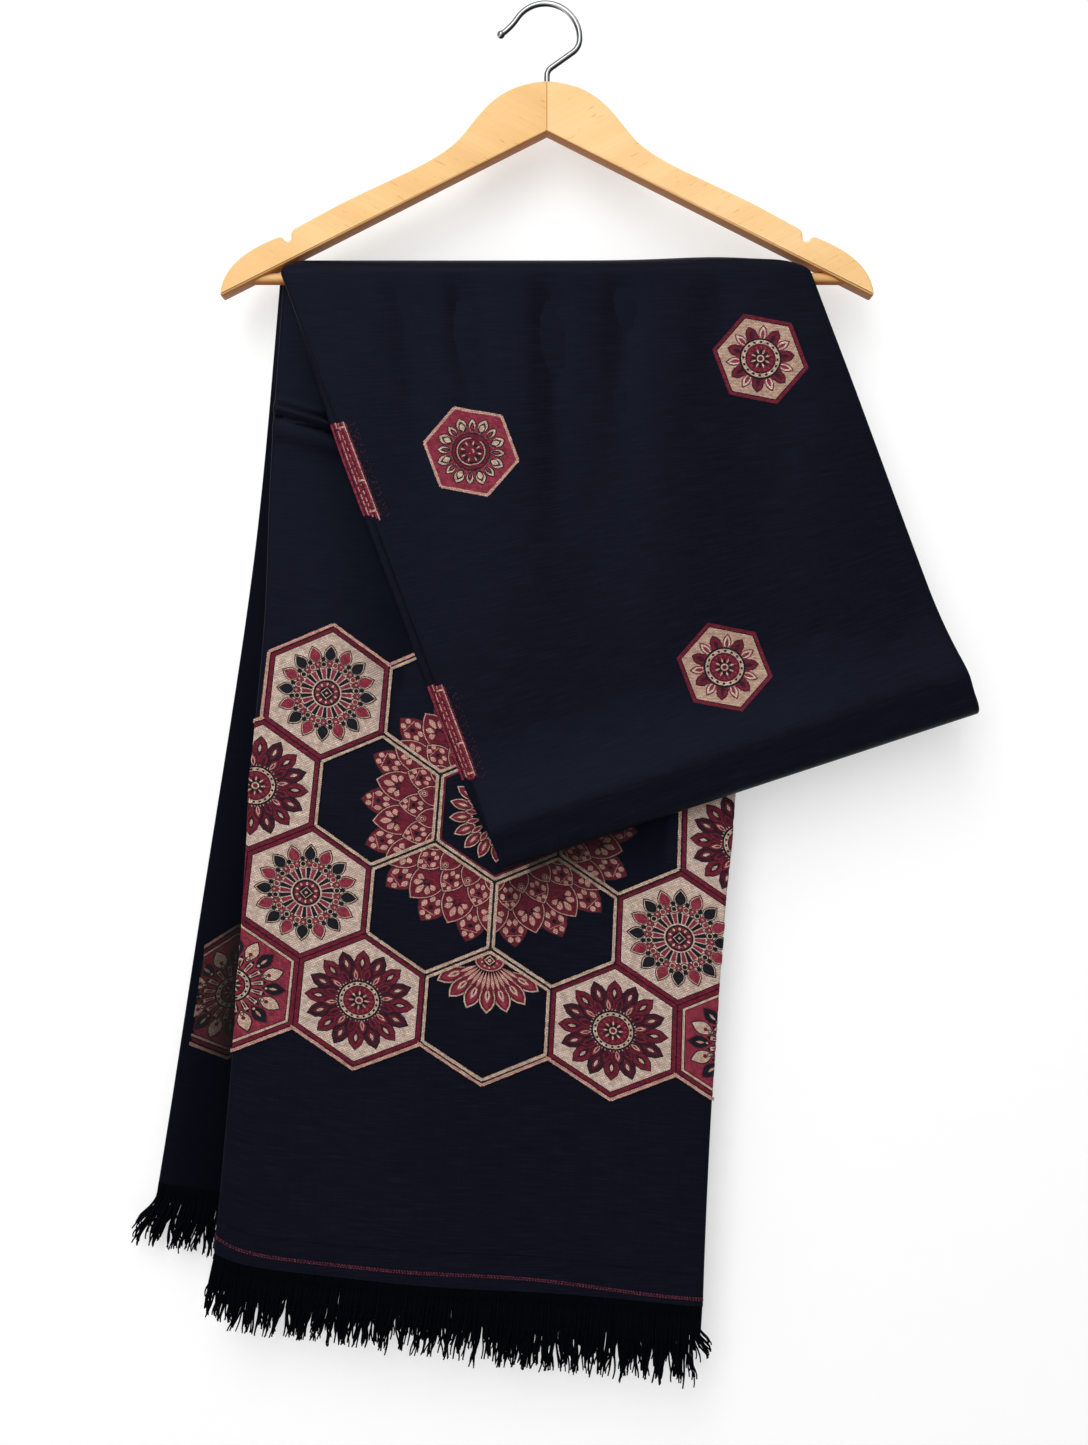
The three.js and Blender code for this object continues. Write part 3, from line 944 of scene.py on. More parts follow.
def core():
    """The flower in the mandala's middle cell."""
    return [
        (18, 0, "beige", 0, leaf(18, 35, 8.0, 0.5, 0.8)),
        (18, 0, "wine", 1, leaf(19, 33.8, 6.6, 0.5, 0.8)),
        (18, 0, "red", 2, leaf(20.5, 32.0, 3.8)),
        (18, 0, "beige", 3, leaf(22.5, 29.5, 1.9, 0.45)),
        (18, 0.5, "black", 2, leaf(12.5, 25, 5.4, 0.6)),
        (18, 0.5, "pink", 3, leaf(13, 24, 4.2, 0.6)),
        (18, 0.5, "wine", 4, leaf(14, 22.6, 2.6, 0.6)),
        *medallion(13.4, 18),
    ]


def fan():
    """Half a flower, hanging from its cell's top corner."""
    step = 20.4 / 360  # of a turn, from petal to petal
    petal = [
        ("black", leaf(12, 39.9, 12.0, 0.62, 0.85, 7)),
        ("beige", leaf(12, 39.2, 11.0, 0.62, 0.85, 7)),
        ("wine", leaf(13, 37.8, 9.4, 0.62, 0.85, 7)),
        ("red", leaf(19, 36.2, 6.2, 0.6, 0.9)),
        ("beige", leaf(21.5, 31.5, 3.8, 0.45)),
        ("wine", leaf(23.0, 28.5, 1.2)),
    ]
    rows = []
    for k in range(-3, 4):
        base = 0.6 * (3 - abs(k))
        for i, (thread, shape) in enumerate(petal):
            rows.append((1, 0.5 + k * step, thread, base + 0.3 * i, shape))
    for k in range(-6, 7):
        rows.append((1, 0.5 + k * step / 2, "wine", 4, leaf(8, 23.4, 3.9, 0.6)))
        rows.append((1, 0.5 + k * step / 2, "pink", 4.5, leaf(8.5, 22.4, 2.3, 0.6)))
    return rows + [
        (1, 0, "black", 5, disc(8.6, 0, 20, 1.25)),
        (1, 0, "pink", 6, disc(8.0, 0, 20, 1.25)),
        (1, 0, "wine", 7, disc(7.2, 0, 20, 1.25)),
        (1, 0, "red", 8, disc(6.4, 0, 20, 1.25)),
        (10, 0, "beige", 9, disc(0.7, 5.4, 6)),
        (1, 0, "black", 9, disc(4.4)),
        (1, 0, "beige", 10, disc(3.8, 0, 4)),
        (1, 0, "wine", 11, disc(2.9, 0, 4)),
        (1, 0, "beige", 12, disc(1.2, 0, 8)),
    ]


def small_bloom():
    """Large and small pale petals, for a small red cell."""
    rows = []
    for shift, tip, width, inside in ((0, 23.6, 6.6, "beige"), (0.5, 22.4, 4.6, "red")):
        rows += [
            (8, shift, "black", 0, leaf(12.4, tip + 0.8, width + 1.5, 0.58, 0.85)),
            (8, shift, "beige", 1, leaf(12.8, tip, width, 0.58, 0.85)),
            (8, shift, "black", 2, leaf(13.2, tip - 1.8, width - 1.6)),
            (8, shift, inside, 3, leaf(14.6, tip - 3.4, width - 3.0)),
        ]
    return rows + [
        (1, 0, "black", 2, disc(13.1, 0, 32)),
        (1, 0, "wine", 3, disc(12.4, 0, 32)),
        (1, 0, "black", 4, ring(10.3, 10.8)),
        (1, 0, "beige", 4, disc(9.6, 0, 32)),
        (1, 0, "black", 5, disc(8.9, 0, 32)),
        (1, 0, "wine", 6, disc(8.3, 0, 32)),
        (8, 0.8 / math.pi, "black", 7, leaf(3.0, 8.0, 2.0)),
        (8, 2.4 / math.pi, "beige", 8, leaf(4.4, 7.4, 1.1)),
        (1, 0, "beige", 7, disc(2.2, 0, 10)),
        (1, 0, "wine", 8, disc(1.3, 0, 8)),
    ]


def small_star():
    """Solid and outlined petals in turn, for a small pale cell."""
    return medallion(12.8, 16) + [
        (7, 0.5, "wine", 0, leaf(12, 23.6, 6.0, 0.5, 0.85)),
        (7, 0.5, "field", 1, leaf(12.4, 22.4, 4.6, 0.5, 0.85)),
        (7, 0.5, "red", 2, leaf(13.0, 20.4, 2.4)),
        (7, 0, "black", 1, leaf(11.5, 23.2, 8.0, 0.55, 0.85)),
        (7, 0, "wine", 2, leaf(11.5, 22.6, 7.0, 0.55, 0.85)),
        (7, 0, "purple", 3, leaf(12.5, 19.6, 2.8)),
        (14, 0.5, "wine", 3, leaf(11.5, 17.5, 2.2)),
    ]


# ---------- embroidery: the band and the small cells ----------

# The band's cells by column and row, row 0 through the mandala's middle.
BAND = {(0, 0): "core", (0, 2): "fan"}
for side in (-1, 1):
    BAND |= {(1.5 * side, row): "wheel" for row in (-1, 1)}
    BAND |= {(2 * side, 0): "star", (side, 2): "star", (2 * side, 2): "burst", (2.5 * side, 1): "burst"}
    BAND |= {(side, 0): "plain", (0.5 * side, -1): "plain", (0.5 * side, 1): "plain"}

# The motif of each kind of bright cell, the thread of its field, and how far that is drawn in.
CELLS = {"wheel": (wheel(), "field", 3.6), "star": (star(), "field", 3.6), "burst": (burst(), "red", 5.8)}

NEIGHBOURS = ((0.5, -1), (1, 0), (0.5, 1), (-0.5, 1), (-1, 0), (-0.5, -1))
FAN_DROP = 8.5  # of the fan's centre below its cell's top corner
ROPE_INSIDE, ROPE_OUTSIDE = 1.8, 1.4  # from a cell's side to the line of its rope
SMALL_SIDE = 32.5
TURF = 14  # the level over the mandala, from which its middle cell and the ropes rise


def rope(ground, thread, level, start, end, width):
    """A raised cord of slanting stitches between two places."""
    length = np.hypot(*(end - start))
    count = max(2, round(length / 1.5))
    along, step = (end - start) / length, length / count
    over, slant = np.array([-along[1], along[0]]), 0.45 * along
    for k in range(count):
        middle = start + along * step * (k + 0.5)
        wide = over * width / 2 * rng.uniform(0.86, 1.14)
        long = along * step * rng.uniform(0.44, 0.54)
        lean = wide + slant
        corners = np.array([-long - lean, lean - long, long + lean, long - lean])
        lay(ground, thread, level, [middle + corners])


def cell_centre(column, row):
    return np.array([column * HEX_PITCH, row * ROW_PITCH])


def stitched_cell(ground, column, row, open_sides):
    """One cell of the band, with a rope on each of its sides that needs one."""
    kind, centre = BAND[column, row], cell_centre(column, row)
    dark = kind in ("core", "fan", "plain")
    if kind == "core":
        lay(ground, "hem", TURF, hexagon_field(1, centre, cells=4))
        draw(ground, core(), centre, TURF + 0.5)
        lay(ground, "wine", TURF + 1, hexagon_ring(3.1, 4.2, centre))
    elif kind == "fan":
        draw(ground, fan(), centre - (0, CELL_SIDE - FAN_DROP))
    elif not dark:
        motif, field, inset = CELLS[kind]
        lay(ground, "wine", 1, hexagon_ring(0.35, 3.0, centre))
        if kind == "burst":
            lay(ground, "beige", 1, hexagon_ring(3.6, 5.2, centre))
        lay(ground, field, 0, hexagon_field(inset, centre))
        draw(ground, motif, centre)
    if dark:
        lay(ground, "black", TURF + 0.5, hexagon_ring(-0.1, 0.9, centre))
    inner, outer = hexagon(ROPE_INSIDE, centre), hexagon(-ROPE_OUTSIDE, centre)
    for k, is_open in enumerate(open_sides):
        j = (k + 1) % 6
        if dark:
            rope(ground, "beige", TURF + 3, inner[k], inner[j], 2.0)
        if is_open:
            rope(ground, "pink", TURF + 1, outer[k], outer[j], 2.1)


def band(ground):
    """The embroidered band in one ground's plane."""
    draw(ground, mandala(), base=0)
    for column, row in BAND:
        stitched_cell(ground, column, row, [(column + dc, row + dr) not in BAND for dc, dr in NEIGHBOURS])


def small_cell(ground, red):
    motif, field, inset = (small_bloom(), "red", 1.6) if red else (small_star(), "sand", 2.9)
    lay(ground, field, 0, hexagon_field(inset, (0, 0), SMALL_SIDE, 4))
    draw(ground, motif)
    if not red:
        lay(ground, "wine", 1, hexagon_ring(0, 2.3, (0, 0), SMALL_SIDE, 3))
        return
    corners = hexagon(0.6, (0, 0), SMALL_SIDE)
    for k in range(6):
        rope(ground, "pink", 2, corners[k], corners[(k + 1) % 6], 1.9)


# ---------- embroidery: the whole shawl ----------

MIDDLE = (-32.7, -553.2)  # the mandala's centre on the front end, in XZ
BAND_TURN = math.radians(6.9)  # the rows fall to the right
BAND_LEAN = math.radians(3.7)  # and the columns lean as the sides do
REAR_TURN = math.radians(9)  # of the rear band's rows
COLUMN_SQUEEZE, ROW_SQUEEZE = 0.984, 0.93  # the pull of the hanging cloth on an even lattice
SPREAD = 0.021 / ROW_PITCH  # the columns open a little towards the foot
REAR_CELL = (2, 2)  # the one cell of the rear end that goes round the fold
REAR_CELL_PAST = 36  # of its centre past the left fold, unfolded
REAR_CELL_Z = -677.4


def direction(turn, squeeze):
    return np.array([math.cos(turn), -math.sin(turn)]) * squeeze


def front_band_ground():
    right = direction(BAND_TURN, COLUMN_SQUEEZE)
    down = direction(math.pi / 2 + BAND_LEAN, ROW_SQUEEZE)
    return end_ground(FRONT_END, MIDDLE, right, down, face_cuts(4), SPREAD)


def rear_band_ground(lean, cuts):
    """The rear end's good side faces away, so its pattern runs to the left as seen from the front."""
    right = -direction(REAR_TURN, COLUMN_SQUEEZE)
    down = direction(math.pi / 2 + math.radians(lean), ROW_SQUEEZE)
    cell_x = REAR_END.left(BAR_Z - REAR_CELL_Z) + LEFT_FOLD - REAR_CELL_PAST
    a, b = cell_centre(*REAR_CELL)
    return end_ground(REAR_END, (cell_x, REAR_CELL_Z) - a * right - b * down, right, down, cuts)


EDGE_HEIGHTS = (286.5, 97)  # of the two edge patches' middles above the panel's foot
STRIPES = (  # on the fold's front or not, how far across, thread, level, width, dash, gap, start
    (False, -1.2, "wine", 1, 1.5, 4, 0.3, 0),
    (False, -3.0, "red", 1, 1.6, 4, 0.3, 0),
    (False, -4.8, "wine", 1, 1.3, 4, 0.3, 0),
    (False, 0.8, "red", 1, 1.6, 4, 0.3, 0),
    (False, -2.1, "pink", 2, 0.7, 5, 1.5, 0),
    (True, -2.8, "wine", 1, 1.4, 3, 0.35, 0),
    (True, -1.4, "red", 1, 1.4, 3, 0.35, 0),
    (True, 0.1, "wine", 1, 1.3, 3, 0.35, 0),
    (True, 1.5, "red", 1, 1.4, 3, 0.35, 0),
    (True, -0.7, "pink", 2, 0.5, 2.2, 2.6, 0),
    (True, 2.7, "pink", 2, 0.9, 7, 0.4, 0),
    (True, 3.9, "wine", 1, 0.8, 3, 0.7, 1.5),
    (True, 5.4, "purple", 1, 0.7, 1.5, 4.0, 3),
    (True, 7.0, "purple", 1, 0.7, 1.5, 5.5, 3),
    (True, 8.4, "purple", 1, 0.7, 1.5, 3.2, 3),
    (True, 9.8, "purple", 1, 0.7, 1.5, 2.6, 3),
)


def edge_patch(height, length=66):
    """Where a motif of the layer beneath turns round the front panel's left fold."""
    face = strip_ground(on_front_face, (LEFT_FOLD, height))
    rear = strip_ground(on_front_rear, (LEFT_FOLD - math.pi * LEFT_FOLD_R, height))
    for in_front, a, thread, level, width, dash, gap, start in STRIPES:
        b = start - length / 2
        while b < start + length / 2:
            size = dash * rng.uniform(0.6, 1.3)
            wide = width * rng.uniform(0.7, 1.15)
            near, far = a - wide / 2, a + wide / 2
            corners = np.array([(near, b), (far, b), (far, b + size), (near, b + size)])
            lay(face if in_front else rear, thread, level, [corners])
            b += size + gap * rng.uniform(0.5, 1.4)
    for b in (-0.46 * length, 0.12 * length, 0.45 * length):
        lay(face, "beige", 2, [np.array([(-1.8, b), (2.8, b + 0.4), (2.8, b + 1.6), (-1.8, b + 1.1)])])


def small_cells():
    """A brick repeat of small cells on the front panel, inside and out, and above the rear band."""
    for u, h, red in ((78.6, 273.5, True), (284, 272, False), (188, 81, False)):
        small_cell(strip_ground(on_front_face, (u, h)), red)
    for u, h, red in ((284, 112, True), (188, 250, False), (78.6, 83, False)):
        small_cell(strip_ground(on_front_rear, (u, h), -1), red)
    u, drop = 188, 74
    x = lerp(REAR_END.left(drop), REAR_END.right(drop), u / FOLDED_WIDTH)
    small_cell(end_ground(REAR_END, (x, BAR_Z - drop), (-1, 0.03), (-0.09, -1), face_cuts(1)), True)


def hem_height(share):
    """The stitch line's height above the foot of the front end."""
    wave = 1.2 * bump((share - 0.55) / 0.13) - 3.2 * smooth((share - 0.62) / 0.3)
    return 8.4 + 3 * np.exp(-share / 0.05) + wave


def hem():
    """A turned hem, and the red line of stitches that holds it."""
    start, end, count = LEFT_FOLD - 3, RIGHT_FOLD + 1.5, 60

    def flat(a, b):
        return a, FRONT_END.foot(a / FOLDED_WIDTH) + b

    ground = Ground(flat, FRONT_END.place, face_cuts(4))
    across = lerp(start, end, np.arange(count + 1) / count)
    tops = hem_height(across / FOLDED_WIDTH) + 12 + 5 * across / FOLDED_WIDTH
    strip = []
    for a, c, near, far in zip(across, across[1:], tops, tops[1:]):
        strip.append(np.array([(a, 0.3), (c, 0.3), (c, far), (a, near)]))
    lay(ground, "hem", 3, strip)
    for row, slant in ((-0.85, 0.4), (0.85, -0.4)):
        a = start
        while a < end:
            size = rng.uniform(0.8, 1.4)
            corners = [(a, -0.4), (a, 0.4), (a + size, 0.4 + slant), (a + size, -0.4 + slant)]
            lay(ground, "stitch", 6, [np.array(corners) + (0, hem_height(a / FOLDED_WIDTH) + row)])
            a += size + rng.uniform(0.5, 1.1)


# ---------- fringe ----------


STRAND_SIDES = 4
STRAND_SHARES = np.linspace(0, 1, 13) ** 0.6  # of a strand's length, at its rings


def strand_tube(points, radius):
    """The rings of a tube through points, thinner at its end."""
    tangents = np.gradient(points, axis=0)
    tangents /= np.linalg.norm(tangents, axis=1)[:, None]
    side = np.cross(tangents, (0, 1, 0))
    side /= np.linalg.norm(side, axis=1)[:, None]
    over = np.cross(tangents, side)
    angle = 2 * np.pi * np.arange(STRAND_SIDES) / STRAND_SIDES
    taper = lerp(1, 0.72, smooth(np.linspace(-2, 1, len(points)))) * radius
    offsets = np.cos(angle)[:, None, None] * side + np.sin(angle)[:, None, None] * over
    return (points + offsets * taper[:, None]).transpose(1, 0, 2).reshape(-1, 3)


def strand(end, layer, share, centre, shift, length, leans, flare):
    """A strand's tube, and how far along it each ring is. Its tuft has a centre, a shift and a length."""
    t = STRAND_SHARES
    u = np.clip(share * FOLDED_WIDTH, 1.0, FOLDED_WIDTH - 1.0)
    root = end.at(1.0, u, layer * end.facing)
    stray = smooth((share - 0.972) / 0.02)  # the last ones stand off to the right
    pull = (centre * FOLDED_WIDTH - u) * rng.uniform(0.1, 0.8)
    pull = pull + shift + rng.normal(0, 1.3) + 7 * stray
    reach = rng.uniform(0.85, 1.0) if rng.uniform() < 0.42 else rng.uniform(0.6, 0.78)
    length = length * reach * (1 - 0.36 * stray)
    lean = lerp(*leans, share) + rng.normal(0, 0.008)
    curl, phase = rng.uniform(0.5, 1.6), rng.uniform(0, 2 * np.pi)
    waves = rng.uniform(1.0, 2.2) * 2 * np.pi * t + phase
    loose = curl * smooth((t - 0.55) / 0.45)
    x = root[0] - length * t * math.sin(lean) + pull * smooth((t - 0.58) / 0.42)
    x += loose * np.sin(waves) - flare * math.exp(-share / 0.06) * smooth((t - 0.25) / 0.75)
    y = root[1] + rng.uniform(-1.5, 1.5) * t + loose * np.cos(waves)
    z = root[2] + 0.8 - length * t * math.cos(lean)
    return strand_tube(np.column_stack([x, y, z]), rng.uniform(0.56, 0.72)), t * length


def fringe(name, end, leans, flare, tufts, material):
    """Strands, side by side at first, drawn into tufts at their tips; the first ones flare out."""
    spacing, rings = 1.0, len(STRAND_SHARES)
    edges = np.cumsum(rng.uniform(0.5, 1.5, tufts))
    edges = np.concatenate([[0], edges / edges[-1]])
    points, faces, uv = [], [], []
    for near, far in zip(edges, edges[1:]):
        per_layer = math.ceil((far - near) * FOLDED_WIDTH / spacing)
        centre, shift = (near + far) / 2, rng.normal(0, 1.6)
        length = lerp(*FRINGE, centre) * rng.uniform(0.92, 1.0)
        for layer, k in itertools.product((-PITCH, 0.0, PITCH), range(per_layer)):
            share = lerp(near, far, (k + 0.5 + rng.uniform(-0.3, 0.3)) / per_layer)
            tube, along = strand(end, layer, share, centre, shift, length, leans, flare)
            faces += tube_faces(rings, STRAND_SIDES, len(points) * len(tube))
            around = np.tile(np.arange(STRAND_SIDES) * 0.5, rings)
            uv.append(np.column_stack([around, np.repeat(along, STRAND_SIDES)]))
            points.append(tube)
    return mesh_object(name, np.concatenate(points), faces, material, np.concatenate(uv), 89)


# ---------- hanger ----------


def circle(sides):
    """Places round a circle of radius 1."""
    angle = np.linspace(0, 2 * np.pi, sides, endpoint=False)
    return np.cos(angle), np.sin(angle)


def traced(start, legs, steps=14):
    """Points along lines and Bezier curves, each given by its control points."""
    points = [np.array(start, float)]
    for leg in legs:
        controls = [points[-1], *np.array(leg, float)]
        degree = len(controls) - 1
        count = 1 if degree == 1 else steps
        for t in np.linspace(0, 1, count + 1)[1:]:
            weights = [math.comb(degree, i) * t**i * (1 - t) ** (degree - i) for i in range(degree + 1)]
            terms = [weight * c for weight, c in zip(weights, controls)]
            points.append(sum(terms))
    return np.array(points)


def arm_outline():
    """The right arm, seen from the front: domed neck, notch and round tip."""
    legs = [
        [(220, APEX_Z - 220 * UNDERSIDE_SLOPE)],
        [(222.6, -200.2), (222.5, -197.5)],
        [(220.6, -181), (207.5, -169.5), (184.5, -160.2)],
        [(179.8, -158.6), (179.2, -161.4)],
        [(175.2, -164.6), (174, -160.2)],
        [(174.8, -155.6), (171, -153.4)],
        [(148, -140.9)],
        [(115, -123), (78, -110.5), (61.6, -94.6)],
        [(46, -79), (39, -56), (SEAM, NECK_Z)],
    ]
    return traced((SEAM, APEX_Z), legs)


def arm_piece(side, material):
    outline = arm_outline()
    before, after = np.roll(outline, 1, axis=0), np.roll(outline, -1, axis=0)
    edge_in = (outline - before) / np.linalg.norm(outline - before, axis=1)[:, None]
    edge_out = (after - outline) / np.linalg.norm(after - outline, axis=1)[:, None]
    normal = edge_in + edge_out
    normal = np.column_stack([-normal[:, 1], normal[:, 0]]) / np.linalg.norm(normal, axis=1)[:, None]
    gaps = np.linalg.norm(after - before, axis=1)
    bend = np.abs(edge_in[:, 0] * edge_out[:, 1] - edge_in[:, 1] * edge_out[:, 0])
    tight = np.minimum(1, 0.35 * gaps / np.maximum(bend, 1e-6) / EDGE_ROUND)
    rings = []
    half = HANGER_THICK / 2
    turns = np.linspace(0, math.pi / 2, 6)
    levels = [(EDGE_ROUND * (1 - math.sin(t)), -half + EDGE_ROUND * (1 - math.cos(t))) for t in turns]
    levels += [(inset, -y) for inset, y in reversed(levels)]
    for inset, y in levels:
        drawn = outline + normal * (inset * tight)[:, None]
        x = np.where(outline[:, 0] <= SEAM, SEAM * (0.1 + inset), np.maximum(drawn[:, 0], SEAM)) * side
        rings.append(np.column_stack([x, np.full(len(x), y), drawn[:, 1]]))
    size, last = len(outline), (len(rings) - 1) * len(outline)
    faces = [tuple(range(size)), tuple(range(last, last + size))[::-1]]
    faces += [(a, d, c, b) for a, b, c, d in ring_faces(len(rings), size)]
    name = "hanger_arm_right_wood" if side > 0 else "hanger_arm_left_wood"
    piece = mesh_object(name, np.concatenate(rings), faces, material, sharp=32)
    turn_faces_out(piece)
    return piece


def bar_piece(material):
    sides, round_end = 48, 1.0
    middle = np.linspace(-BAR_HALF + 20, BAR_HALF - 20, 8)
    places = [-BAR_HALF, -BAR_HALF + round_end, *middle, BAR_HALF - round_end, BAR_HALF]
    radii = [BAR_R - round_end, *[BAR_R] * (len(places) - 2), BAR_R - round_end]
    y, z = circle(sides)
    rings = [np.column_stack([np.full(sides, x), r * y, BAR_Z + r * z]) for x, r in zip(places, radii)]
    return ring_piece("hanger_bar_wood", rings, material)


def hook_path():
    """The hook's wire as places in XZ: a shank, a bend to the right, the round and a flared tip."""

    def arc(radius, degrees):
        return radius * math.radians(abs(degrees)), math.radians(degrees)

    legs = [(36.4, 0.0), arc(7, -54.5), (18.1, 0.0), arc(11, 49.5), arc(HOOK_R, 151), arc(40, -20)]
    x, z, heading = 0.0, SHANK_FOOT_Z, math.pi / 2
    points = [(x, z)]
    for length, turn in legs:
        count = max(2, round(length / 1.2))
        for _ in range(count):
            heading += turn / count / 2
            x += math.cos(heading) * length / count
            z += math.sin(heading) * length / count
            heading += turn / count / 2
            points.append((x, z))
    return np.array(points)


def hook_piece(material):
    path = hook_path()
    along = np.gradient(path, axis=0)
    along /= np.linalg.norm(along, axis=1)[:, None]
    over = np.column_stack([-along[:, 1], along[:, 0]])
    places = [(place, WIRE_R, out) for place, out in zip(path, over)]
    for t in np.linspace(-0.75, 1, 14) * math.pi / 2:
        centre = path[-1] + along[-1] * HOOK_BALL_R * (math.sin(t) + 0.6)
        places.append((centre, HOOK_BALL_R * math.cos(t) + 0.02, over[-1]))
    across, y = circle(24)
    rings = []
    for centre, radius, out in places:
        x, z = centre[:, None] + radius * across * out[:, None]
        rings.append(np.column_stack([x, radius * y, z]))
    return ring_piece("hanger_hook_steel", rings, material)


# ---------- the object ----------


THREADS = {  # shadow, light, the gap between stitches, and where they differ the turn and the stitch
    "wine": ("5c1626", "7b2236", "3a0f1b"),
    "red": ("7c2336", "9c3a4e", "581824", 0.8),
    "purple": ("2a0d19", "45192b", "16080e"),
    "beige": ("bb9a86", "e0c8b4", "86604f", 0.5, (1.8, 1.1)),
    "field": ("c4aa9b", "e6d3c4", "8e6a5e", 0.3, (2.2, 1.1)),
    "sand": ("b0927e", "cfb39d", "93655a", 0.3, (2.2, 1.0)),
    "pink": ("bd8b7e", "ddb3a3", "84504b", 0.5, (1.8, 1.1)),
    "rose": ("a46a63", "cc9c90", "6d3236", 0.5, (1.8, 1.1)),
    "black": ("090b12", "171a24", "040508"),
    "stitch": ("551d2a", "7c384a", "2a0d15"),
}


def build_hanger():
    slope = math.atan(UNDERSIDE_SLOPE)
    # painted shade: the left arm's wood is a darker copy of the right arm's
    left_wood = wood_material("beech_left", "eec285", "e6b879", "dfae6e", -slope)
    right_wood = wood_material("beech_right", "f8ce97", "f1c58b", "ebbd80", slope)
    bar_wood = wood_material("beech_bar", "e6b87c", "daa96c", "cf9a5c")
    steel = steel_material()
    for piece, node, slot in (
        (arm_piece(-1, left_wood), "hanger_arm_left", "hanger_wood"),
        (arm_piece(1, right_wood), "hanger_arm_right", "hanger_wood"),
        (bar_piece(bar_wood), "hanger_bar", "hanger_wood"),
        (hook_piece(steel), "hanger_hook", "hook_metal"),
    ):
        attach(piece, "root")
        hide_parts(node)


def build_shawl():
    navy = cloth_material()
    cloth = shawl_cloth(navy)
    band(front_band_ground())
    band(rear_band_ground(7, face_cuts(1)))
    flap = rear_band_ground(12.6, flap_cuts(BORDER, 80))  # for the cell that goes round the fold
    stitched_cell(flap, *REAR_CELL, [True, False, True, True, True, True])
    small_cells()
    for height in EDGE_HEIGHTS:
        edge_patch(height)
    hem()
    materials = {name: thread_material(name, *look) for name, look in THREADS.items()}
    trims = embroidery(materials | {"hem": navy})
    yarn = yarn_material()
    front = fringe("fringe_front_strands", FRONT_END, (0.2, 0.06), 0, 38, yarn)
    rear = fringe("fringe_rear_strands", REAR_END, (0.16, 0.05), 11, 44, yarn)
    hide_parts("fringe_front")
    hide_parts("fringe_rear")
    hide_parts("shawl")
    for piece in (cloth, front, rear, *trims):
        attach(piece, "root")


# ---------- the studio ----------

EYE = (-0.002, -1.0, -0.490)  # metres
FRAME_HEIGHT = 0.989  # that the picture takes in at the bar's depth
WALL_Y = 0.034
FLOOR_Z = -1.08
GLOW = 0.45  # of the backdrop's own, to the camera and in metal, on top of what lights it
WORLD_LIGHT = 0.34  # on the object; to the camera the world is plain white
AIM = (0, 0, -0.45)  # of the lamps, in metres
LAMPS = (  # name, place, size in metres, power
    ("key", (-0.8, -2.8, 0.5), 2.0, 43),
    ("top", (-0.4, -1.5, 1.3), 1.2, 23),
    ("back", (0.3, 1.6, 0.6), 1.2, 8),
)


class Backdrop(Shader):
    """Plain white, partly its own light to the camera, with the object's shadow in the rest."""

    def __init__(self, name):
        super().__init__(name, Roughness=0.95, Specular_IOR_Level=0.0, Base_Color=(0.6, 0.6, 0.6, 1))
        self.path = self.node("LightPath").outputs
        seen = self.math("MAXIMUM", self.path["Is Camera Ray"], self.path["Is Glossy Ray"])
        seen = self.math("MAXIMUM", seen, self.path["Is Transmission Ray"])
        glow = self.node("Emission", {"Strength": self.math("MULTIPLY", seen, GLOW)}).outputs[0]
        self.show(self.node("AddShader", {0: self.surface.outputs[0], 1: glow}).outputs[0])

    def show(self, shown):
        self.shown = shown
        self.tree.links.new(shown, self.tree.nodes["Material Output"].inputs["Surface"])

    def let_through(self):
        """Clear to what looks at its back, and to the lamps."""
        back = self.node("NewGeometry").outputs["Backfacing"]
        clear = self.node("BsdfTransparent").outputs[0]
        share = self.math("MAXIMUM", back, self.path["Is Shadow Ray"])
        self.show(self.node("MixShader", {0: share, 1: self.shown, 2: clear}).outputs[0])


def panel(name, corners, shader):
    made = mesh_object(name, np.array(corners) / MM, [(0, 1, 2, 3)], shader.material, sharp=0)


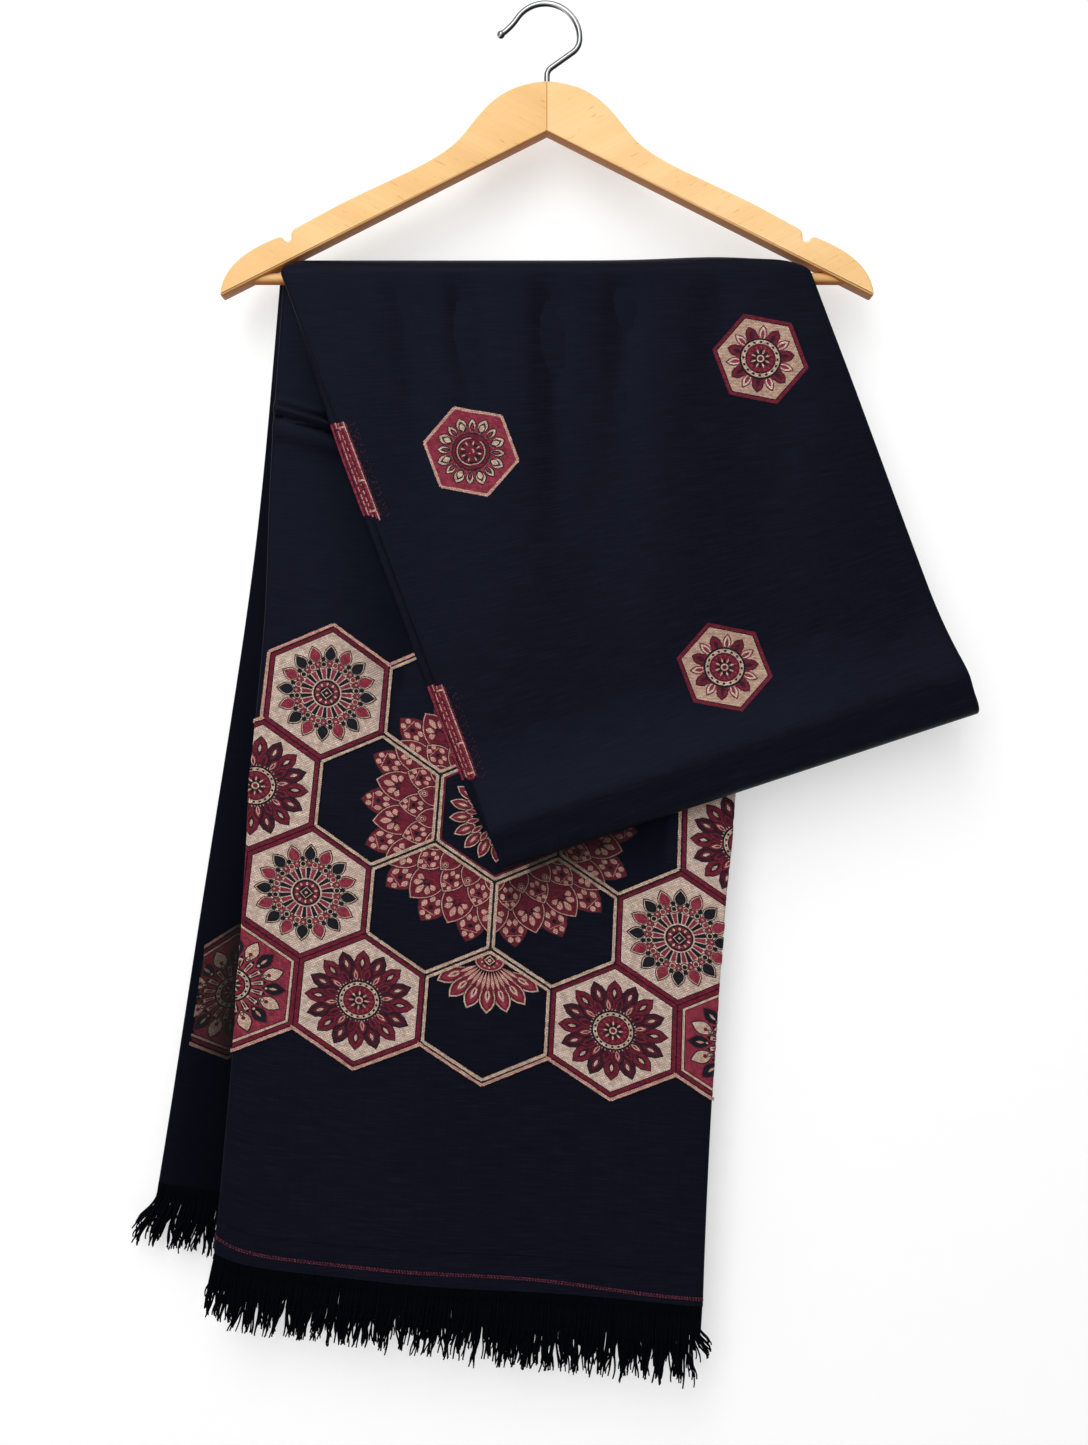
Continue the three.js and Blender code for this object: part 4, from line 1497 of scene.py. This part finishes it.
def lamp(name, place, size, power):
    data = bpy.data.lights.new(name, "AREA")
    data.shape = "SQUARE"
    data.size = size
    data.energy = power
    made = bpy.data.objects.new(name, data)
    made.location = place
    made.rotation_euler = (Vector(AIM) - Vector(place)).to_track_quat("-Z", "Y").to_euler()
    bpy.context.scene.collection.objects.link(made)


def build_world():
    world = bpy.data.worlds.new("studio")
    world.use_nodes = True
    tree = world.node_tree
    path = tree.nodes.new("ShaderNodeLightPath").outputs
    seen = path["Is Camera Ray"]
    for other in ("Is Glossy Ray", "Is Transmission Ray"):
        either = tree.nodes.new("ShaderNodeMath")
        either.operation = "MAXIMUM"
        tree.links.new(seen, either.inputs[0])
        tree.links.new(path[other], either.inputs[1])
        seen = either.outputs[0]
    strength = tree.nodes.new("ShaderNodeMapRange")
    strength.inputs["To Min"].default_value = WORLD_LIGHT
    strength.inputs["To Max"].default_value = 1.0
    tree.links.new(seen, strength.inputs["Value"])
    background = tree.nodes["Background"]
    background.inputs["Color"].default_value = (1, 1, 1, 1)
    tree.links.new(strength.outputs[0], background.inputs["Strength"])
    bpy.context.scene.world = world


def build_studio():
    reach = 3.0
    wall, floor = Backdrop("wall_white"), Backdrop("floor_white")
    wall.let_through()
    floor_edge = [(-reach, -reach), (reach, -reach), (reach, reach), (-reach, reach)]
    wall_edge = [(-reach, FLOOR_Z), (reach, FLOOR_Z), (reach, reach), (-reach, reach)]
    panel("floor", [(x, y, FLOOR_Z) for x, y in floor_edge], floor)
    panel("wall", [(x, WALL_Y, z) for x, z in wall_edge], wall)
    for name, place, size, power in LAMPS:
        lamp(name, place, size, power)
    build_world()
    bpy.context.scene.view_settings.view_transform = "Standard"

    data = bpy.data.cameras.new("camera")
    data.sensor_width = 36
    data.lens = data.sensor_width * -EYE[1] / FRAME_HEIGHT
    camera = bpy.data.objects.new("camera", data)
    camera.location = EYE
    camera.rotation_euler = (math.pi / 2, 0, 0)
    bpy.context.scene.collection.objects.link(camera)
    bpy.context.scene.camera = camera


build_hanger()
build_shawl()
build_studio()
